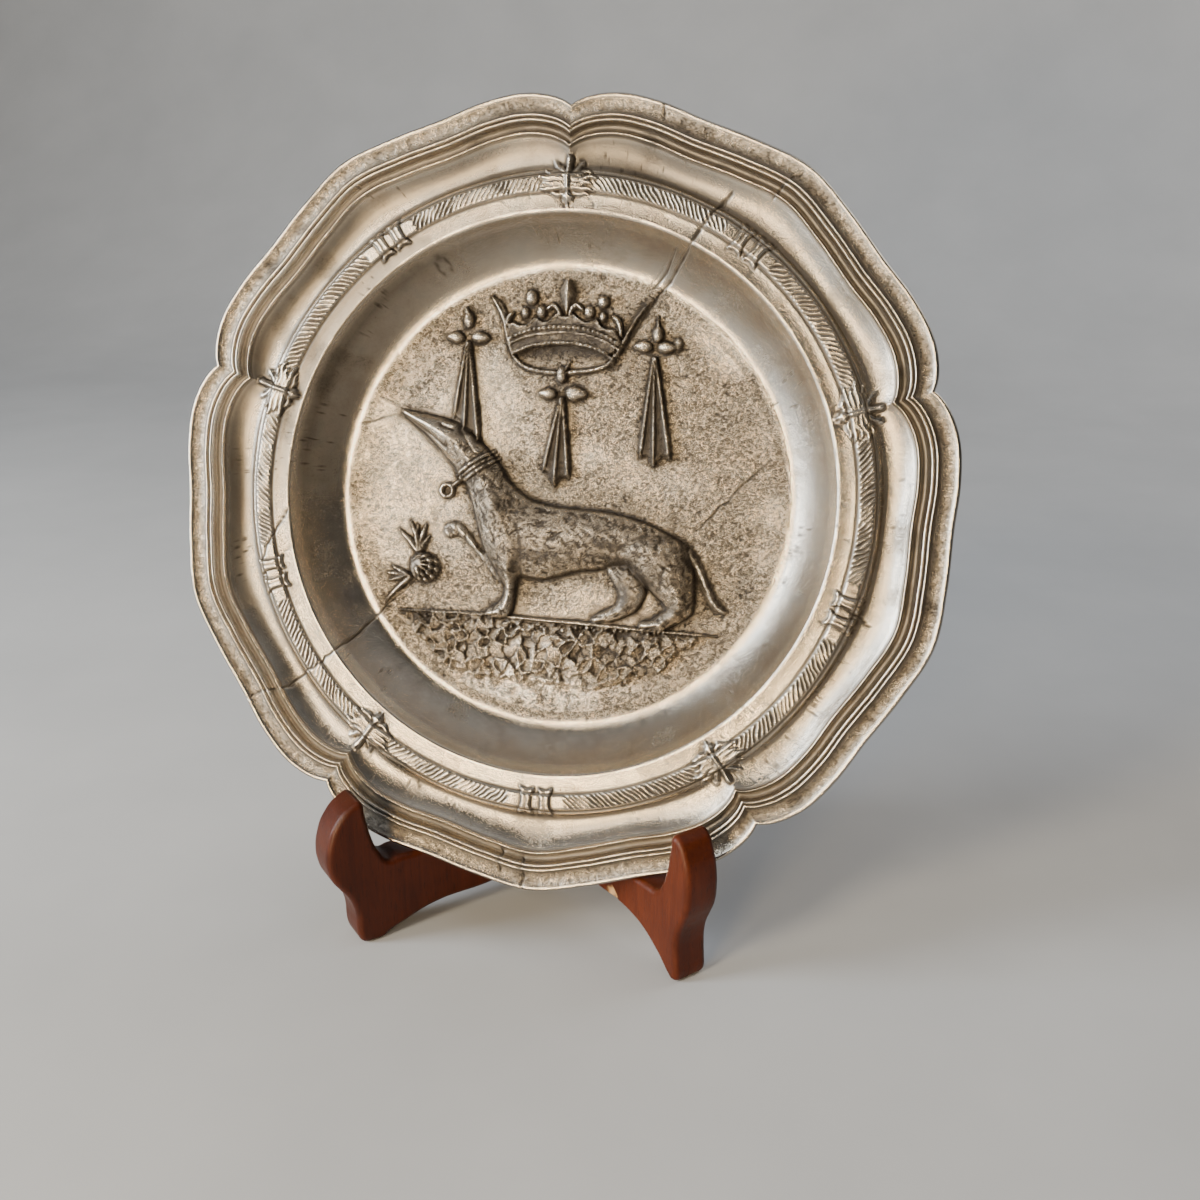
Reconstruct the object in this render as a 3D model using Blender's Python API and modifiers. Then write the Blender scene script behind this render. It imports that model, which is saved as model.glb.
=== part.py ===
"""A cast pewter wall plate with five lobes and a low relief, standing in a cradle of two crossed boards.

Units are metres, +Z is up and the plate faces -Y. The floor is at z = 0.
Plate sketches use the plate's own plane: x to the right, y up the plate, z out of its face.
Board sketches use the board's own plane: s back from its front foot, z up.
"""
import math

import bmesh
import bpy
from mathutils import Matrix, Vector

MM = 0.001

# Plate: driving sizes in millimetres, with levels measured from the rim's front plane
BRIM_RADIUS = 82.0
PLATE_LEAN = math.radians(17.0)
PLATE_CENTRE_HEIGHT = 129.6
LOBES = 5
HALF_LOBE = 180.0 / LOBES
FIELD_LEVEL = -16.0
FIELD_BACK_LEVEL = -18.8
SCOOP_LEVEL = -5.2
SCOOP_RIDGE_LEVEL = -2.6
SCOOP_OUTER_LEVEL = -1.2
SCOOP_INNER_LEVEL = -2.3
RIBBON_LEVEL = -1.7
WALL = 2.2

# Relief bars: how far their lower half goes into the plate, as a share of its full depth
BURIED_SHARE = 0.3

# Stony ground: rows of stones and half the distance between their middles
STONE_ROWS = 3
STONE_PITCH = 4.9

# Half of one lobe's outline: degrees from the cusp, radius in brim radii
LOBE_OUTLINE = ((0.0, 1.354), (3.0, 1.388), (7.5, 1.405), (13.0, 1.399),
                (20.0, 1.384), (28.0, 1.397), (36.0, 1.418))
LOBE_STEPS = (0.0, 1.8, 4.4, 8.5, 14.0, 20.0, 26.0, 31.5, 36.0)

# Stand: driving sizes in millimetres
BOARD_THICKNESS = 11.5
BOARD_ANGLE = math.radians(46.0)
FOOT_HALF_SPAN = 51.9
FOOT_FRONT = 40.9
STAND_OFFSET = -2.0
EDGE_ROUNDING = 2.0
SLOT_GAP = 0.3
SLOT_LEVEL = 25.0

# Moves everything so that the footprint's middle is at the origin
FOOTPRINT_SHIFT = 3.5

PART_COLLECTION = "pewter_wall_plate"
CUTTER_COLLECTION = "cutters"


def clear_scene():
    for item in list(bpy.data.objects):
        bpy.data.objects.remove(item, do_unlink=True)


def new_collection(name):
    collection = bpy.data.collections.new(name)
    bpy.context.scene.collection.children.link(collection)
    return collection


def make_material(name, color, metallic, roughness):
    material = bpy.data.materials.new(name)
    material.use_nodes = True
    shader = material.node_tree.nodes["Principled BSDF"]
    shader.inputs["Base Color"].default_value = (*color, 1.0)
    shader.inputs["Metallic"].default_value = metallic
    shader.inputs["Roughness"].default_value = roughness
    return material


def add_object(name, data, collection):
    item = bpy.data.objects.new(name, data)
    collection.objects.link(item)
    return item


def evaluated_mesh(item):
    """The object's mesh with its modifiers in it."""
    bpy.context.view_layer.update()
    graph = bpy.context.evaluated_depsgraph_get()
    return bpy.data.meshes.new_from_object(item.evaluated_get(graph))


def curve_to_mesh(item, collection):
    """A closed mesh object in the place of a curve object."""
    mesh = evaluated_mesh(item)
    shape = bmesh.new()
    shape.from_mesh(mesh)
    bmesh.ops.remove_doubles(shape, verts=shape.verts, dist=0.000001)
    bmesh.ops.recalc_face_normals(shape, faces=shape.faces)
    shape.to_mesh(mesh)
    shape.free()
    solid = add_object(item.name + "_solid", mesh, collection)
    solid.matrix_world = item.matrix_world
    bpy.data.objects.remove(item, do_unlink=True)
    return solid


def unite(target, figures, collection):
    """Join a list of closed solids to the target in one union, and remove them."""
    group = bpy.data.collections.new("figures")
    collection.children.link(group)
    for figure in figures:
        group.objects.link(figure)
    modifier = target.modifiers.new("unite", "BOOLEAN")
    modifier.operation = "UNION"
    modifier.operand_type = "COLLECTION"
    modifier.collection = group
    mesh = evaluated_mesh(target)
    target.modifiers.remove(modifier)
    target.data = mesh
    for figure in figures:
        bpy.data.objects.remove(figure, do_unlink=True)
    bpy.data.collections.remove(group)


def hermite(points, at):
    """A smooth value between listed (position, value) points, flat at both ends."""
    last = len(points) - 1
    slopes = [0.0] * (last + 1)
    for i in range(1, last):
        slopes[i] = (points[i + 1][1] - points[i - 1][1]) / (points[i + 1][0] - points[i - 1][0])
    slopes[0] = 1.6 * (points[1][1] - points[0][1]) / (points[1][0] - points[0][0])
    slopes[last] = (points[last][1] - points[last - 1][1]) / (points[last][0] - points[last - 1][0])
    for i in range(last):
        x0, y0 = points[i]
        x1, y1 = points[i + 1]
        if at <= x1:
            break
    width = x1 - x0
    u = (at - x0) / width
    return ((2 * u ** 3 - 3 * u ** 2 + 1) * y0 + (u ** 3 - 2 * u ** 2 + u) * width * slopes[i]
            + (3 * u ** 2 - 2 * u ** 3) * y1 + (u ** 3 - u ** 2) * width * slopes[i + 1])


def plate_columns():
    """Angles round the plate with each one's distance from its cusp, both in degrees."""
    columns = []
    for lobe in range(LOBES):
        start = 90.0 + lobe * 2 * HALF_LOBE
        rising = [(start + step, step) for step in LOBE_STEPS]
        falling = [(start + 2 * HALF_LOBE - step, step) for step in reversed(LOBE_STEPS[1:-1])]
        columns += rising + falling
    return columns


def rim_radius(from_cusp):
    return hermite(LOBE_OUTLINE, from_cusp) * BRIM_RADIUS


def scoop_ring(from_cusp, share, depth_share):
    """A point in the hollow between the rim mouldings (share 0) and the ribbon (share 1).

    A sharp ridge crosses the hollow at each cusp.
    """
    outer = rim_radius(from_cusp) - 10.8
    inner = 1.135 * BRIM_RADIUS
    fullness = min(1.0, (from_cusp / 15.0) ** 0.7)
    deepest = SCOOP_RIDGE_LEVEL + (SCOOP_LEVEL - SCOOP_RIDGE_LEVEL) * fullness
    edge_level = SCOOP_OUTER_LEVEL + (SCOOP_INNER_LEVEL - SCOOP_OUTER_LEVEL) * share
    return outer + (inner - outer) * share, edge_level + (deepest - edge_level) * depth_share


def plate_section(from_cusp):
    """The plate's cross-section at one angle: (radius, level) from the middle of the face,
    over the rim and back to the middle of the underside."""
    rim = rim_radius(from_cusp)
    brim = BRIM_RADIUS
    front = [
        (0.790 * brim, FIELD_LEVEL),
        (0.812 * brim, FIELD_LEVEL + 0.7),
        (0.850 * brim, FIELD_LEVEL + 0.9),
        (0.935 * brim, FIELD_LEVEL + 6.4),
        (0.988 * brim, -3.4),
        (1.000 * brim, -2.4),
        (1.068 * brim, RIBBON_LEVEL),
        (1.116 * brim, RIBBON_LEVEL),
        (1.124 * brim, SCOOP_INNER_LEVEL),
        scoop_ring(from_cusp, 0.62, 1.0),
        scoop_ring(from_cusp, 0.22, 0.72),
        (rim - 10.6, -0.9),
        (rim - 9.4, -1.5),
        (rim - 7.4, 0.5),
        (rim - 3.0, -0.7),
        (rim - 0.8, 0.0),
        (rim, -0.9),
    ]
    scoop_radius, scoop_level = scoop_ring(from_cusp, 0.6, 1.0)
    back = [
        (rim - 0.5, -2.0),
        (rim - 8.5, -2.6),
        (scoop_radius, scoop_level - WALL),
        (1.030 * brim, -5.0),
        (0.970 * brim, -7.4),
        (0.900 * brim, FIELD_BACK_LEVEL + 2.6),
        (0.800 * brim, FIELD_BACK_LEVEL),
    ]
    return front + back


def build_plate_body(collection):
    """Loft the lobed cross-sections round the plate, and close the flat field on both sides."""
    shape = bmesh.new()
    loops = []
    for angle, from_cusp in plate_columns():
        turn = math.radians(angle)
        loop = [shape.verts.new((r * math.cos(turn) * MM, r * math.sin(turn) * MM, level * MM))
                for r, level in plate_section(from_cusp)]
        loops.append(loop)
    count = len(loops)
    for i in range(count):
        here = loops[i]
        after = loops[(i + 1) % count]
        for j in range(len(here) - 1):
            shape.faces.new((here[j], here[j + 1], after[j + 1], after[j]))
    shape.faces.new([loop[0] for loop in loops])
    shape.faces.new([loop[-1] for loop in reversed(loops)])
    bmesh.ops.recalc_face_normals(shape, faces=shape.faces)
    mesh = bpy.data.meshes.new("plate")
    shape.to_mesh(mesh)
    shape.free()
    return add_object("plate", mesh, collection)


def stroke(name, points, radii, rise, collection, sides=6, level=FIELD_LEVEL, smooth=2):
    """A tapered round bar along a smooth line in the plate's plane, flattened to a height.

    points are (x, y) in millimetres, radii are its half widths there and rise its height.
    """
    curve = bpy.data.curves.new(name, "CURVE")
    curve.dimensions = "3D"
    curve.bevel_depth = MM
    curve.bevel_resolution = max(0, sides // 2 - 2)
    curve.use_fill_caps = True
    path = smooth_path(points, radii, smooth)
    spline = curve.splines.new("POLY")
    spline.points.add(len(path) - 1)
    for point, (x, y, radius) in zip(spline.points, path):
        point.co = (x * MM, y * MM, 0.0, 1.0)
        point.radius = radius
    item = add_object(name, curve, collection)
    solid = curve_to_mesh(item, collection)
    flatten = rise / max(radii)
    sunk = 0.12 * rise
    for vertex in solid.data.vertices:
        vertex.co.z *= flatten if vertex.co.z > 0.0 else flatten * BURIED_SHARE
    solid.data.transform(Matrix.Translation((0.0, 0.0, (level - sunk) * MM)))
    return solid


def smooth_path(points, radii, steps):
    """Points on a Catmull-Rom curve through the listed points, with their radii."""
    if steps < 2 or len(points) < 3:
        return [(x, y, r) for (x, y), r in zip(points, radii)]
    knots = [(x, y, r) for (x, y), r in zip(points, radii)]
    knots = [knots[0]] + knots + [knots[-1]]
    path = []
    for i in range(1, len(knots) - 2):
        for k in range(steps):
            u = k / steps
            path.append(tuple(
                0.5 * (2 * b + (c - a) * u + (2 * a - 5 * b + 4 * c - d) * u * u
                       + (3 * b - a - 3 * c + d) * u ** 3)
                for a, b, c, d in zip(*knots[i - 1:i + 3])))
    path.append(knots[-1])
    return path


def bead(name, x, y, half_width, half_height, rise, collection, turn=0.0, level=FIELD_LEVEL):
    """A low oval boss."""
    mesh = bpy.data.meshes.new(name)
    shape = bmesh.new()
    bmesh.ops.create_uvsphere(shape, u_segments=7, v_segments=4, radius=1.0)
    shape.to_mesh(mesh)
    shape.free()
    place = (Matrix.Translation((x * MM, y * MM, (level - 0.1 * rise) * MM))
             @ Matrix.Rotation(turn, 4, "Z")
             @ Matrix.Diagonal((half_width * MM, half_height * MM, rise * MM, 1.0)))
    mesh.transform(place)
    return add_object(name, mesh, collection)


def ermine(collection):
    """The walking ermine: body, head, legs, tail, ears and collar with its ring."""
    parts = [
        stroke("body", ((-25.5, 7.5), (-20.5, -1.0), (-13.0, -10.0), (-1.0, -13.4), (13.0, -13.6),
                        (26.0, -17.0), (34.5, -21.5), (37.0, -25.0)),
               (6.2, 7.4, 10.4, 9.6, 7.4, 8.0, 6.0, 3.0), 4.6, collection, sides=8),
        stroke("head", ((-25.5, 7.0), (-30.0, 12.2), (-36.0, 15.8), (-43.0, 19.4), (-50.0, 23.2)),
               (5.6, 6.1, 4.6, 2.9, 1.0), 3.6, collection, sides=8),
        stroke("near_foreleg", ((-15.0, -14.0), (-16.5, -23.0), (-16.0, -31.0), (-17.5, -35.0),
                                (-22.0, -36.2)),
               (5.0, 3.6, 2.3, 2.0, 1.4), 3.0, collection),
        stroke("raised_foreleg", ((-19.5, -20.0), (-24.5, -14.5), (-29.0, -10.0), (-33.0, -9.2),
                                  (-34.6, -11.8)),
               (2.4, 2.0, 1.7, 1.5, 1.0), 1.8, collection),
        stroke("near_hind_leg", ((27.0, -19.0), (34.5, -25.0), (38.0, -30.0), (34.0, -34.4),
                                 (26.5, -35.8)),
               (7.0, 4.6, 2.6, 2.0, 1.3), 3.6, collection),
        stroke("far_hind_leg", ((16.0, -18.0), (19.5, -24.0), (21.5, -29.5), (18.0, -33.2),
                                (11.5, -35.2)),
               (5.0, 3.6, 2.4, 1.8, 1.2), 2.8, collection),
        stroke("tail", ((37.5, -14.6), (42.0, -20.0), (44.8, -26.0), (49.6, -30.4)),
               (2.0, 2.4, 2.2, 0.6), 1.8, collection),
        stroke("ear", ((-26.0, 13.6), (-28.2, 17.0), (-31.0, 19.4)), (1.6, 1.9, 0.7), 3.9,
               collection),
        stroke("collar_lower", ((-31.4, 4.2), (-26.0, 8.4), (-20.4, 11.0)), (1.3, 1.5, 1.3), 5.0,
               collection),
        stroke("collar_upper", ((-32.8, 6.6), (-27.6, 10.8), (-22.4, 13.4)), (0.9, 1.0, 0.9), 4.8,
               collection),
        stroke("collar_ring", ring_points(-35.6, 0.4, 1.9, 8), (0.7,) * 9, 1.6, collection,
               sides=4, smooth=1),
        stroke("collar_bar", ((-34.2, 1.4), (-30.6, 4.6)), (0.6, 0.7), 2.0, collection, sides=4),
    ]
    return parts


def ring_points(x, y, radius, count):
    """Points round a circle, ending short of its start so that the bar stays one simple tube."""
    turns = [math.radians(355.0 * k / count) for k in range(count + 1)]
    return tuple((x + radius * math.cos(turn), y + radius * math.sin(turn)) for turn in turns)


def crown(collection):
    """The crown seen a little from below: cabled band, open ring, fins, fleurs and pearls."""
    cx = -2.2
    parts = [
        stroke("band_upper", ((cx - 17.0, 48.4), (cx - 9.0, 50.4), (cx, 51.0), (cx + 9.0, 50.2),
                              (cx + 17.4, 48.0)),
               (1.3, 1.5, 1.5, 1.5, 1.3), 2.6, collection, smooth=1),
        stroke("band_lower", ((cx - 16.4, 45.4), (cx - 9.0, 47.2), (cx, 47.8), (cx + 9.0, 47.0),
                              (cx + 16.8, 45.0)),
               (1.1, 1.3, 1.3, 1.3, 1.1), 2.2, collection, smooth=1),
        stroke("ring_front", ((cx - 16.2, 44.4), (cx - 12.5, 39.8), (cx - 6.0, 37.4),
                              (cx + 0.6, 36.8), (cx + 7.0, 37.3), (cx + 13.0, 39.4),
                              (cx + 16.4, 43.8)),
               (1.0, 1.3, 1.4, 1.4, 1.4, 1.3, 1.0), 1.9, collection, smooth=1),
        stroke("fin_left", ((-24.9, 57.6), (-20.6, 50.4), (-18.4, 45.0), (-16.0, 40.0)),
               (0.5, 1.5, 1.4, 0.5), 1.4, collection),
        stroke("fin_right", ((22.2, 57.2), (18.0, 50.0), (15.6, 44.6), (13.8, 40.0)),
               (0.5, 1.5, 1.4, 0.5), 1.4, collection),
        stroke("fleur", ((cx, 51.0), (cx, 56.6), (cx, 60.6), (cx, 66.0)), (1.1, 1.1, 1.9, 0.4),
               2.2, collection),
        stroke("fleur_curl_left", ((cx - 0.4, 53.0), (cx - 2.6, 54.2), (cx - 3.4, 57.2)),
               (0.8, 1.1, 0.5), 1.6, collection),
        stroke("fleur_curl_right", ((cx + 0.4, 53.0), (cx + 2.6, 54.2), (cx + 3.4, 57.2)),
               (0.8, 1.1, 0.5), 1.6, collection),
    ]
    for side in (-1, 1):
        middle = cx + side * 10.6
        pearls = ((middle, 57.8, 1.9), (middle - 2.7, 54.2, 1.8), (middle + 2.7, 54.0, 1.8))
        for k, (x, y, size) in enumerate(pearls):
            parts.append(bead("pearl_%d_%d" % (side + 1, k), x, y, size, size, 2.3, collection))
        parts.append(bead("half_fleur_%d" % (side + 1), cx + side * 16.2, 51.6, 1.8, 2.4, 1.9,
                          collection))
        parts.append(stroke("scallop_%d" % (side + 1),
                            ((cx + side * 1.6, 52.2), (cx + side * 6.4, 51.6),
                             (cx + side * 12.0, 52.2), (cx + side * 16.0, 50.6)),
                            (1.2, 1.0, 1.6, 1.0), 1.7, collection))
    return parts


def ermine_spot(name, top, foot, bead_gap, spread, collection):
    """One ermine spot: three oval beads over a ridged tail that ends in three points."""
    x, y = top
    fx, fy = foot
    parts = [
        bead(name + "_bead_top", x, y, 1.9, 2.6, 2.1, collection),
        bead(name + "_bead_left", x - bead_gap, y - 4.4, 2.5, 1.9, 2.1, collection),
        bead(name + "_bead_right", x + bead_gap, y - 4.4, 2.5, 1.9, 2.1, collection),
        stroke(name + "_tail", ((x, y - 5.0), (x + (fx - x) * 0.5, (y + fy) / 2), (fx, fy)),
               (0.9, 1.5, 0.5), 1.7, collection),
    ]
    for side in (-1, 1):
        end = (fx + side * spread, fy + 3.6)
        half = (x + (end[0] - x) * 0.42, y - 5.0 + (end[1] - y + 5.0) * 0.5)
        parts.append(stroke("%s_tail_%d" % (name, side + 1), ((x, y - 5.6), half, end),
                            (0.7, 1.3, 0.5), 1.2, collection, smooth=1))
    return parts


def sprig(collection):
    """The curled sprig at the ermine's feet on the left."""
    parts = [
        bead("curl", -40.8, -23.4, 4.8, 4.4, 2.4, collection, turn=0.5),
        stroke("stem", ((-43.0, -26.0), (-48.4, -28.6), (-55.6, -35.6)), (1.0, 0.9, 0.4), 1.1,
               collection),
        stroke("bract", ((-45.0, -24.6), (-48.0, -25.4), (-51.6, -25.2)), (1.6, 1.4, 0.5), 1.4,
               collection),
    ]
    for k, (dx, dy) in enumerate(((-4.2, 7.0), (-1.2, 8.6), (2.2, 6.8))):
        parts.append(stroke("leaf_%d" % k, ((-43.6, -20.0), (-44.8 + dx * 0.4, -17.0 + dy * 0.3),
                                            (-45.0 + dx, -16.6 + dy)),
                            (1.3, 1.6, 0.4), 1.7, collection))
    return parts


def stony_ground(collection):
    """A narrow ledge under the paws, and rows of facetted stones in a bowed patch below it."""
    parts = [
        stroke("ledge", ((-50.0, -36.6), (-14.0, -37.4), (20.0, -38.0), (48.6, -38.4)),
               (0.6, 1.1, 1.1, 0.6), 1.7, collection),
    ]
    for row in range(STONE_ROWS):
        depth = (row + 0.55) / STONE_ROWS
        half_length = 44.0 * math.sqrt(1.0 - 0.92 * depth ** 2)
        y = -39.2 - 16.4 * depth
        count = int(half_length / STONE_PITCH)
        for k in range(count):
            x = -0.5 + half_length * (2 * (k + 0.5) / count - 1)
            swing = math.sin(12.9 * row + 4.7 * k)
            parts.append(stone("stone_%d_%d" % (row, k), x + 0.8 * swing, y + 0.7 * swing,
                               3.6 + 0.7 * swing, 2.3 - 0.4 * swing, 1.5 * k + row, collection))
    return parts


def stone(name, x, y, half_length, half_height, turn, collection):
    """A low five-sided stone with a tilted, facetted top."""
    mesh = bpy.data.meshes.new(name)
    shape = bmesh.new()
    bmesh.ops.create_cone(shape, cap_ends=True, segments=5, radius1=1.0, radius2=0.45, depth=2.0)
    shape.to_mesh(mesh)
    shape.free()
    place = (Matrix.Translation((x * MM, y * MM, FIELD_LEVEL * MM))
             @ Matrix.Diagonal((half_length * MM, half_height * MM, 1.25 * MM, 1.0))
             @ Matrix.Rotation(turn, 4, "Z") @ Matrix.Rotation(0.12 * math.sin(turn), 4, "X"))
    mesh.transform(place)
    return add_object(name, mesh, collection)


def polar(radius, degrees):
    turn = math.radians(degrees)
    return radius * math.cos(turn), radius * math.sin(turn)


def ribbon_clasps(collection):
    """Clasps on the ribbon: a bar with leafy ends at each cusp, a pair of collars at each lobe."""
    parts = []
    inner = 1.040 * BRIM_RADIUS
    middle = 1.092 * BRIM_RADIUS
    outer = 1.150 * BRIM_RADIUS
    for lobe in range(LOBES):
        cusp = 90.0 + lobe * 2 * HALF_LOBE
        parts.append(stroke("cusp_bar_%d" % lobe, (polar(inner, cusp), polar(outer, cusp)),
                            (1.0, 0.9), 1.3, collection, level=-2.0))
        for side in (-1, 1):
            leaf = (polar(middle, cusp + side * 1.0), polar(middle + 0.8, cusp + side * 2.6),
                    polar(middle - 0.6, cusp + side * 4.6))
            parts.append(stroke("cusp_leaf_%d_%d" % (lobe, side + 1), leaf, (2.0, 1.7, 0.6), 0.9,
                                collection, level=RIBBON_LEVEL, smooth=1))
            crest = cusp + HALF_LOBE + side * 1.7
            collar = (polar(inner + 1.6, crest + side * 1.1), polar(middle, crest),
                      polar(outer - 1.2, crest + side * 1.1))
            parts.append(stroke("lobe_collar_%d_%d" % (lobe, side + 1), collar, (0.9, 1.1, 0.9),
                                1.2, collection, level=-2.0, smooth=1))
    return parts


def build_plate(collection, workshop, material):
    plate = build_plate_body(collection)
    relief = (ermine(workshop) + crown(workshop) + sprig(workshop) + stony_ground(workshop)
              + ermine_spot("spot_left", (-31.0, 50.4), (-30.2, 15.0), 4.0, 3.4, workshop)
              + ermine_spot("spot_middle", (-2.0, 34.6), (-2.6, 2.4), 4.0, 3.9, workshop)
              + ermine_spot("spot_right", (25.2, 48.6), (26.6, 10.0), 3.6, 4.4, workshop)
              + ribbon_clasps(workshop))
    unite(plate, relief, workshop)
    plate.data.materials.clear()
    plate.data.materials.append(material)
    plate.data.set_sharp_from_angle(angle=math.radians(40.0))
    plate.rotation_euler = (math.pi / 2 - PLATE_LEAN, 0.0, 0.0)
    plate.location = (0.0, FOOTPRINT_SHIFT * MM, PLATE_CENTRE_HEIGHT * MM)
    return plate


def board_outline(belly, waist, foot_length, arch, seat):
    """One board's outline as (s, z, corner) in millimetres, where corner marks a sharp turn.

    belly is how far the front swells, waist how far it is cut back above the foot, foot_length
    the front foot's bearing, arch the height of the hollow under the board and seat the level
    that the rim rests on. The two boards are cut by hand and differ a little.
    """
    front = [(0.6, 0.0, True), (-0.7, 4.5, False), (waist, 13.5, False),
             (0.45 * (waist - belly), 20.5, False), (-0.6 - 0.95 * belly, 26.0, False),
             (-0.7 - belly, 31.0, False), (-0.7 - 0.85 * belly, 37.0, False),
             (-0.6 * belly, 42.0, False)]
    hook = [(1.4, 47.4, False), (4.4, 47.6, False), (5.4, 43.0, False), (6.6, 36.0, False),
            (8.4, 30.4, False), (11.6, 25.6, False)]
    bar = [(15.0, seat, False), (22.0, seat, False), (27.0, seat + 2.4, False),
           (36.0, seat + 6.4, False), (52.0, seat + 10.0, False), (68.0, seat + 12.4, False),
           (75.0, seat + 17.0, False), (78.4, seat + 28.0, False)]
    upright = [(79.2, 70.0, False), (79.4, 96.0, False), (84.0, 109.0, False),
               (89.2, 121.0, False), (93.6, 125.6, False), (99.0, 124.0, False),
               (101.8, 117.0, False), (100.2, 92.0, False), (101.2, 52.0, False),
               (107.4, 26.0, False), (112.6, 9.0, False)]
    rear_foot = [(115.6, 0.0, True), (104.6, 0.0, True), (100.4, 5.0, False),
                 (88.0, 10.0, False), (70.0, 11.6, False)]
    under = [(46.0, arch + 0.6, False), (foot_length + 15.0, arch, False),
             (foot_length + 5.0, 0.52 * arch, False), (foot_length, 0.0, True)]
    return front + hook + bar + upright + rear_foot + under


def board_frame(side):
    """Placement of a board: s runs back and inwards, the sketch's second axis is up."""
    along = Vector((-side * math.sin(BOARD_ANGLE), math.cos(BOARD_ANGLE), 0.0))
    up = Vector((0.0, 0.0, 1.0))
    across = along.cross(up)
    turn = Matrix((along, up, across)).transposed().to_4x4()
    foot = Vector((STAND_OFFSET + side * FOOT_HALF_SPAN, FOOTPRINT_SHIFT - FOOT_FRONT, 0.0)) * MM
    return Matrix.Translation(foot) @ turn


def board_blank(name, side, outline, workshop):
    """The board before its slot is cut: an extruded outline with rounded edges."""
    curve = bpy.data.curves.new(name, "CURVE")
    curve.dimensions = "2D"
    curve.fill_mode = "BOTH"
    curve.extrude = BOARD_THICKNESS / 2 * MM
    curve.resolution_u = 2
    spline = curve.splines.new("BEZIER")
    spline.use_cyclic_u = True
    spline.bezier_points.add(len(outline) - 1)
    for point, (s, z, corner) in zip(spline.bezier_points, outline):
        point.co = (s * MM, z * MM, 0.0)
        kind = "VECTOR" if corner else "AUTO"
        point.handle_left_type = kind
        point.handle_right_type = kind
    blank = curve_to_mesh(add_object(name + "_blank", curve, workshop), workshop)
    shape = bmesh.new()
    shape.from_mesh(blank.data)
    bmesh.ops.dissolve_limit(shape, angle_limit=0.01, verts=shape.verts, edges=shape.edges)
    shape.to_mesh(blank.data)
    shape.free()
    rounding = blank.modifiers.new("rounding", "BEVEL")
    rounding.width = EDGE_ROUNDING * MM
    rounding.segments = 2
    rounding.limit_method = "ANGLE"
    rounding.angle_limit = math.radians(60.0)
    blank.matrix_world = board_frame(side)
    return blank


def slot_cutter(name, other_side, from_below, cutters):
    """The space that the other board's half takes up where the boards cross."""
    slot_length = 60.0
    crossing = FOOT_HALF_SPAN / math.sin(BOARD_ANGLE)
    thickness = BOARD_THICKNESS + 2 * SLOT_GAP
    if from_below:
        low, high = -10.0, SLOT_LEVEL + SLOT_GAP / 2
    else:
        low, high = SLOT_LEVEL - SLOT_GAP / 2, 90.0
    mesh = bpy.data.meshes.new(name)
    shape = bmesh.new()
    bmesh.ops.create_cube(shape, size=1.0)
    shape.to_mesh(mesh)
    shape.free()
    size = Matrix.Diagonal((slot_length * MM, (high - low) * MM, thickness * MM, 1.0))
    mesh.transform(Matrix.Translation((crossing * MM, (low + high) / 2 * MM, 0.0)) @ size)
    cutter = add_object(name, mesh, cutters)
    cutter.matrix_world = board_frame(other_side)
    cutter.hide_render = True
    cutter.display_type = "WIRE"
    return cutter


def build_board(name, side, outline, slot_from_below, collection, cutters, material):
    blank = board_blank(name, side, outline, cutters)
    mesh = evaluated_mesh(blank)
    board = add_object(name, mesh, collection)
    board.matrix_world = blank.matrix_world
    bpy.data.objects.remove(blank, do_unlink=True)
    cutter = slot_cutter(name + "_slot", -side, slot_from_below, cutters)
    slot = board.modifiers.new("slot", "BOOLEAN")
    slot.operation = "DIFFERENCE"
    slot.object = cutter
    board.data.materials.clear()
    board.data.materials.append(material)
    board.data.shade_smooth()
    board.data.set_sharp_from_angle(angle=math.radians(35.0))
    return board


def build():
    clear_scene()
    collection = new_collection(PART_COLLECTION)
    cutters = new_collection(CUTTER_COLLECTION)
    pewter = make_material("aged_pewter", (0.46, 0.43, 0.38), 0.9, 0.42)
    wood_left = make_material("stained_wood_left", (0.29, 0.10, 0.055), 0.0, 0.45)
    wood_right = make_material("stained_wood_right", (0.30, 0.11, 0.06), 0.0, 0.45)
    build_plate(collection, cutters, pewter)
    left = board_outline(belly=6.6, waist=1.0, foot_length=10.5, arch=5.6, seat=26.0)
    right = board_outline(belly=2.8, waist=1.4, foot_length=5.5, arch=10.6, seat=25.3)
    build_board("stand_board_left", -1, left, False, collection, cutters, wood_left)
    build_board("stand_board_right", 1, right, True, collection, cutters, wood_right)


build()
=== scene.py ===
"""Looks for the pewter wall plate and the cradle of two crossed boards that it stands in.

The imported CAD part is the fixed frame. The plate's casting is shown by three fine meshes that meet on
its own moulding lines: the sunk field with its relief, the well's wall with the ribbon, and the lobed rim.
Plate sizes are in millimetres in the plate's own plane: x to the right, y up the plate, levels out of its face.
"""
import math

import bmesh
import bpy
import numpy as np
from mathutils import Euler, Matrix, Vector


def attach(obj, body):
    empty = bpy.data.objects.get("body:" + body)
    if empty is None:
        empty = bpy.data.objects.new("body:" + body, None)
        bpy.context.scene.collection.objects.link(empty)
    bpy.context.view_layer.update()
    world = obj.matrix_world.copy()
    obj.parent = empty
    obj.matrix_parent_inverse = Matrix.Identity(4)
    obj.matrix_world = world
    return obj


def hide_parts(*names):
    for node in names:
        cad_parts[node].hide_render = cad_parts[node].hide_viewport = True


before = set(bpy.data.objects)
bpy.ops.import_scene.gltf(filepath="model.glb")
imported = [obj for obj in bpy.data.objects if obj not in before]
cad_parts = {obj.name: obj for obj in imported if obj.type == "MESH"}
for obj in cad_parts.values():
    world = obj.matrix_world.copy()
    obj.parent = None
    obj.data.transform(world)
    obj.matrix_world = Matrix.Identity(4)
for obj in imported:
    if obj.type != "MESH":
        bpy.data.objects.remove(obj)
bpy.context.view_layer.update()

MM = 0.001
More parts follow.
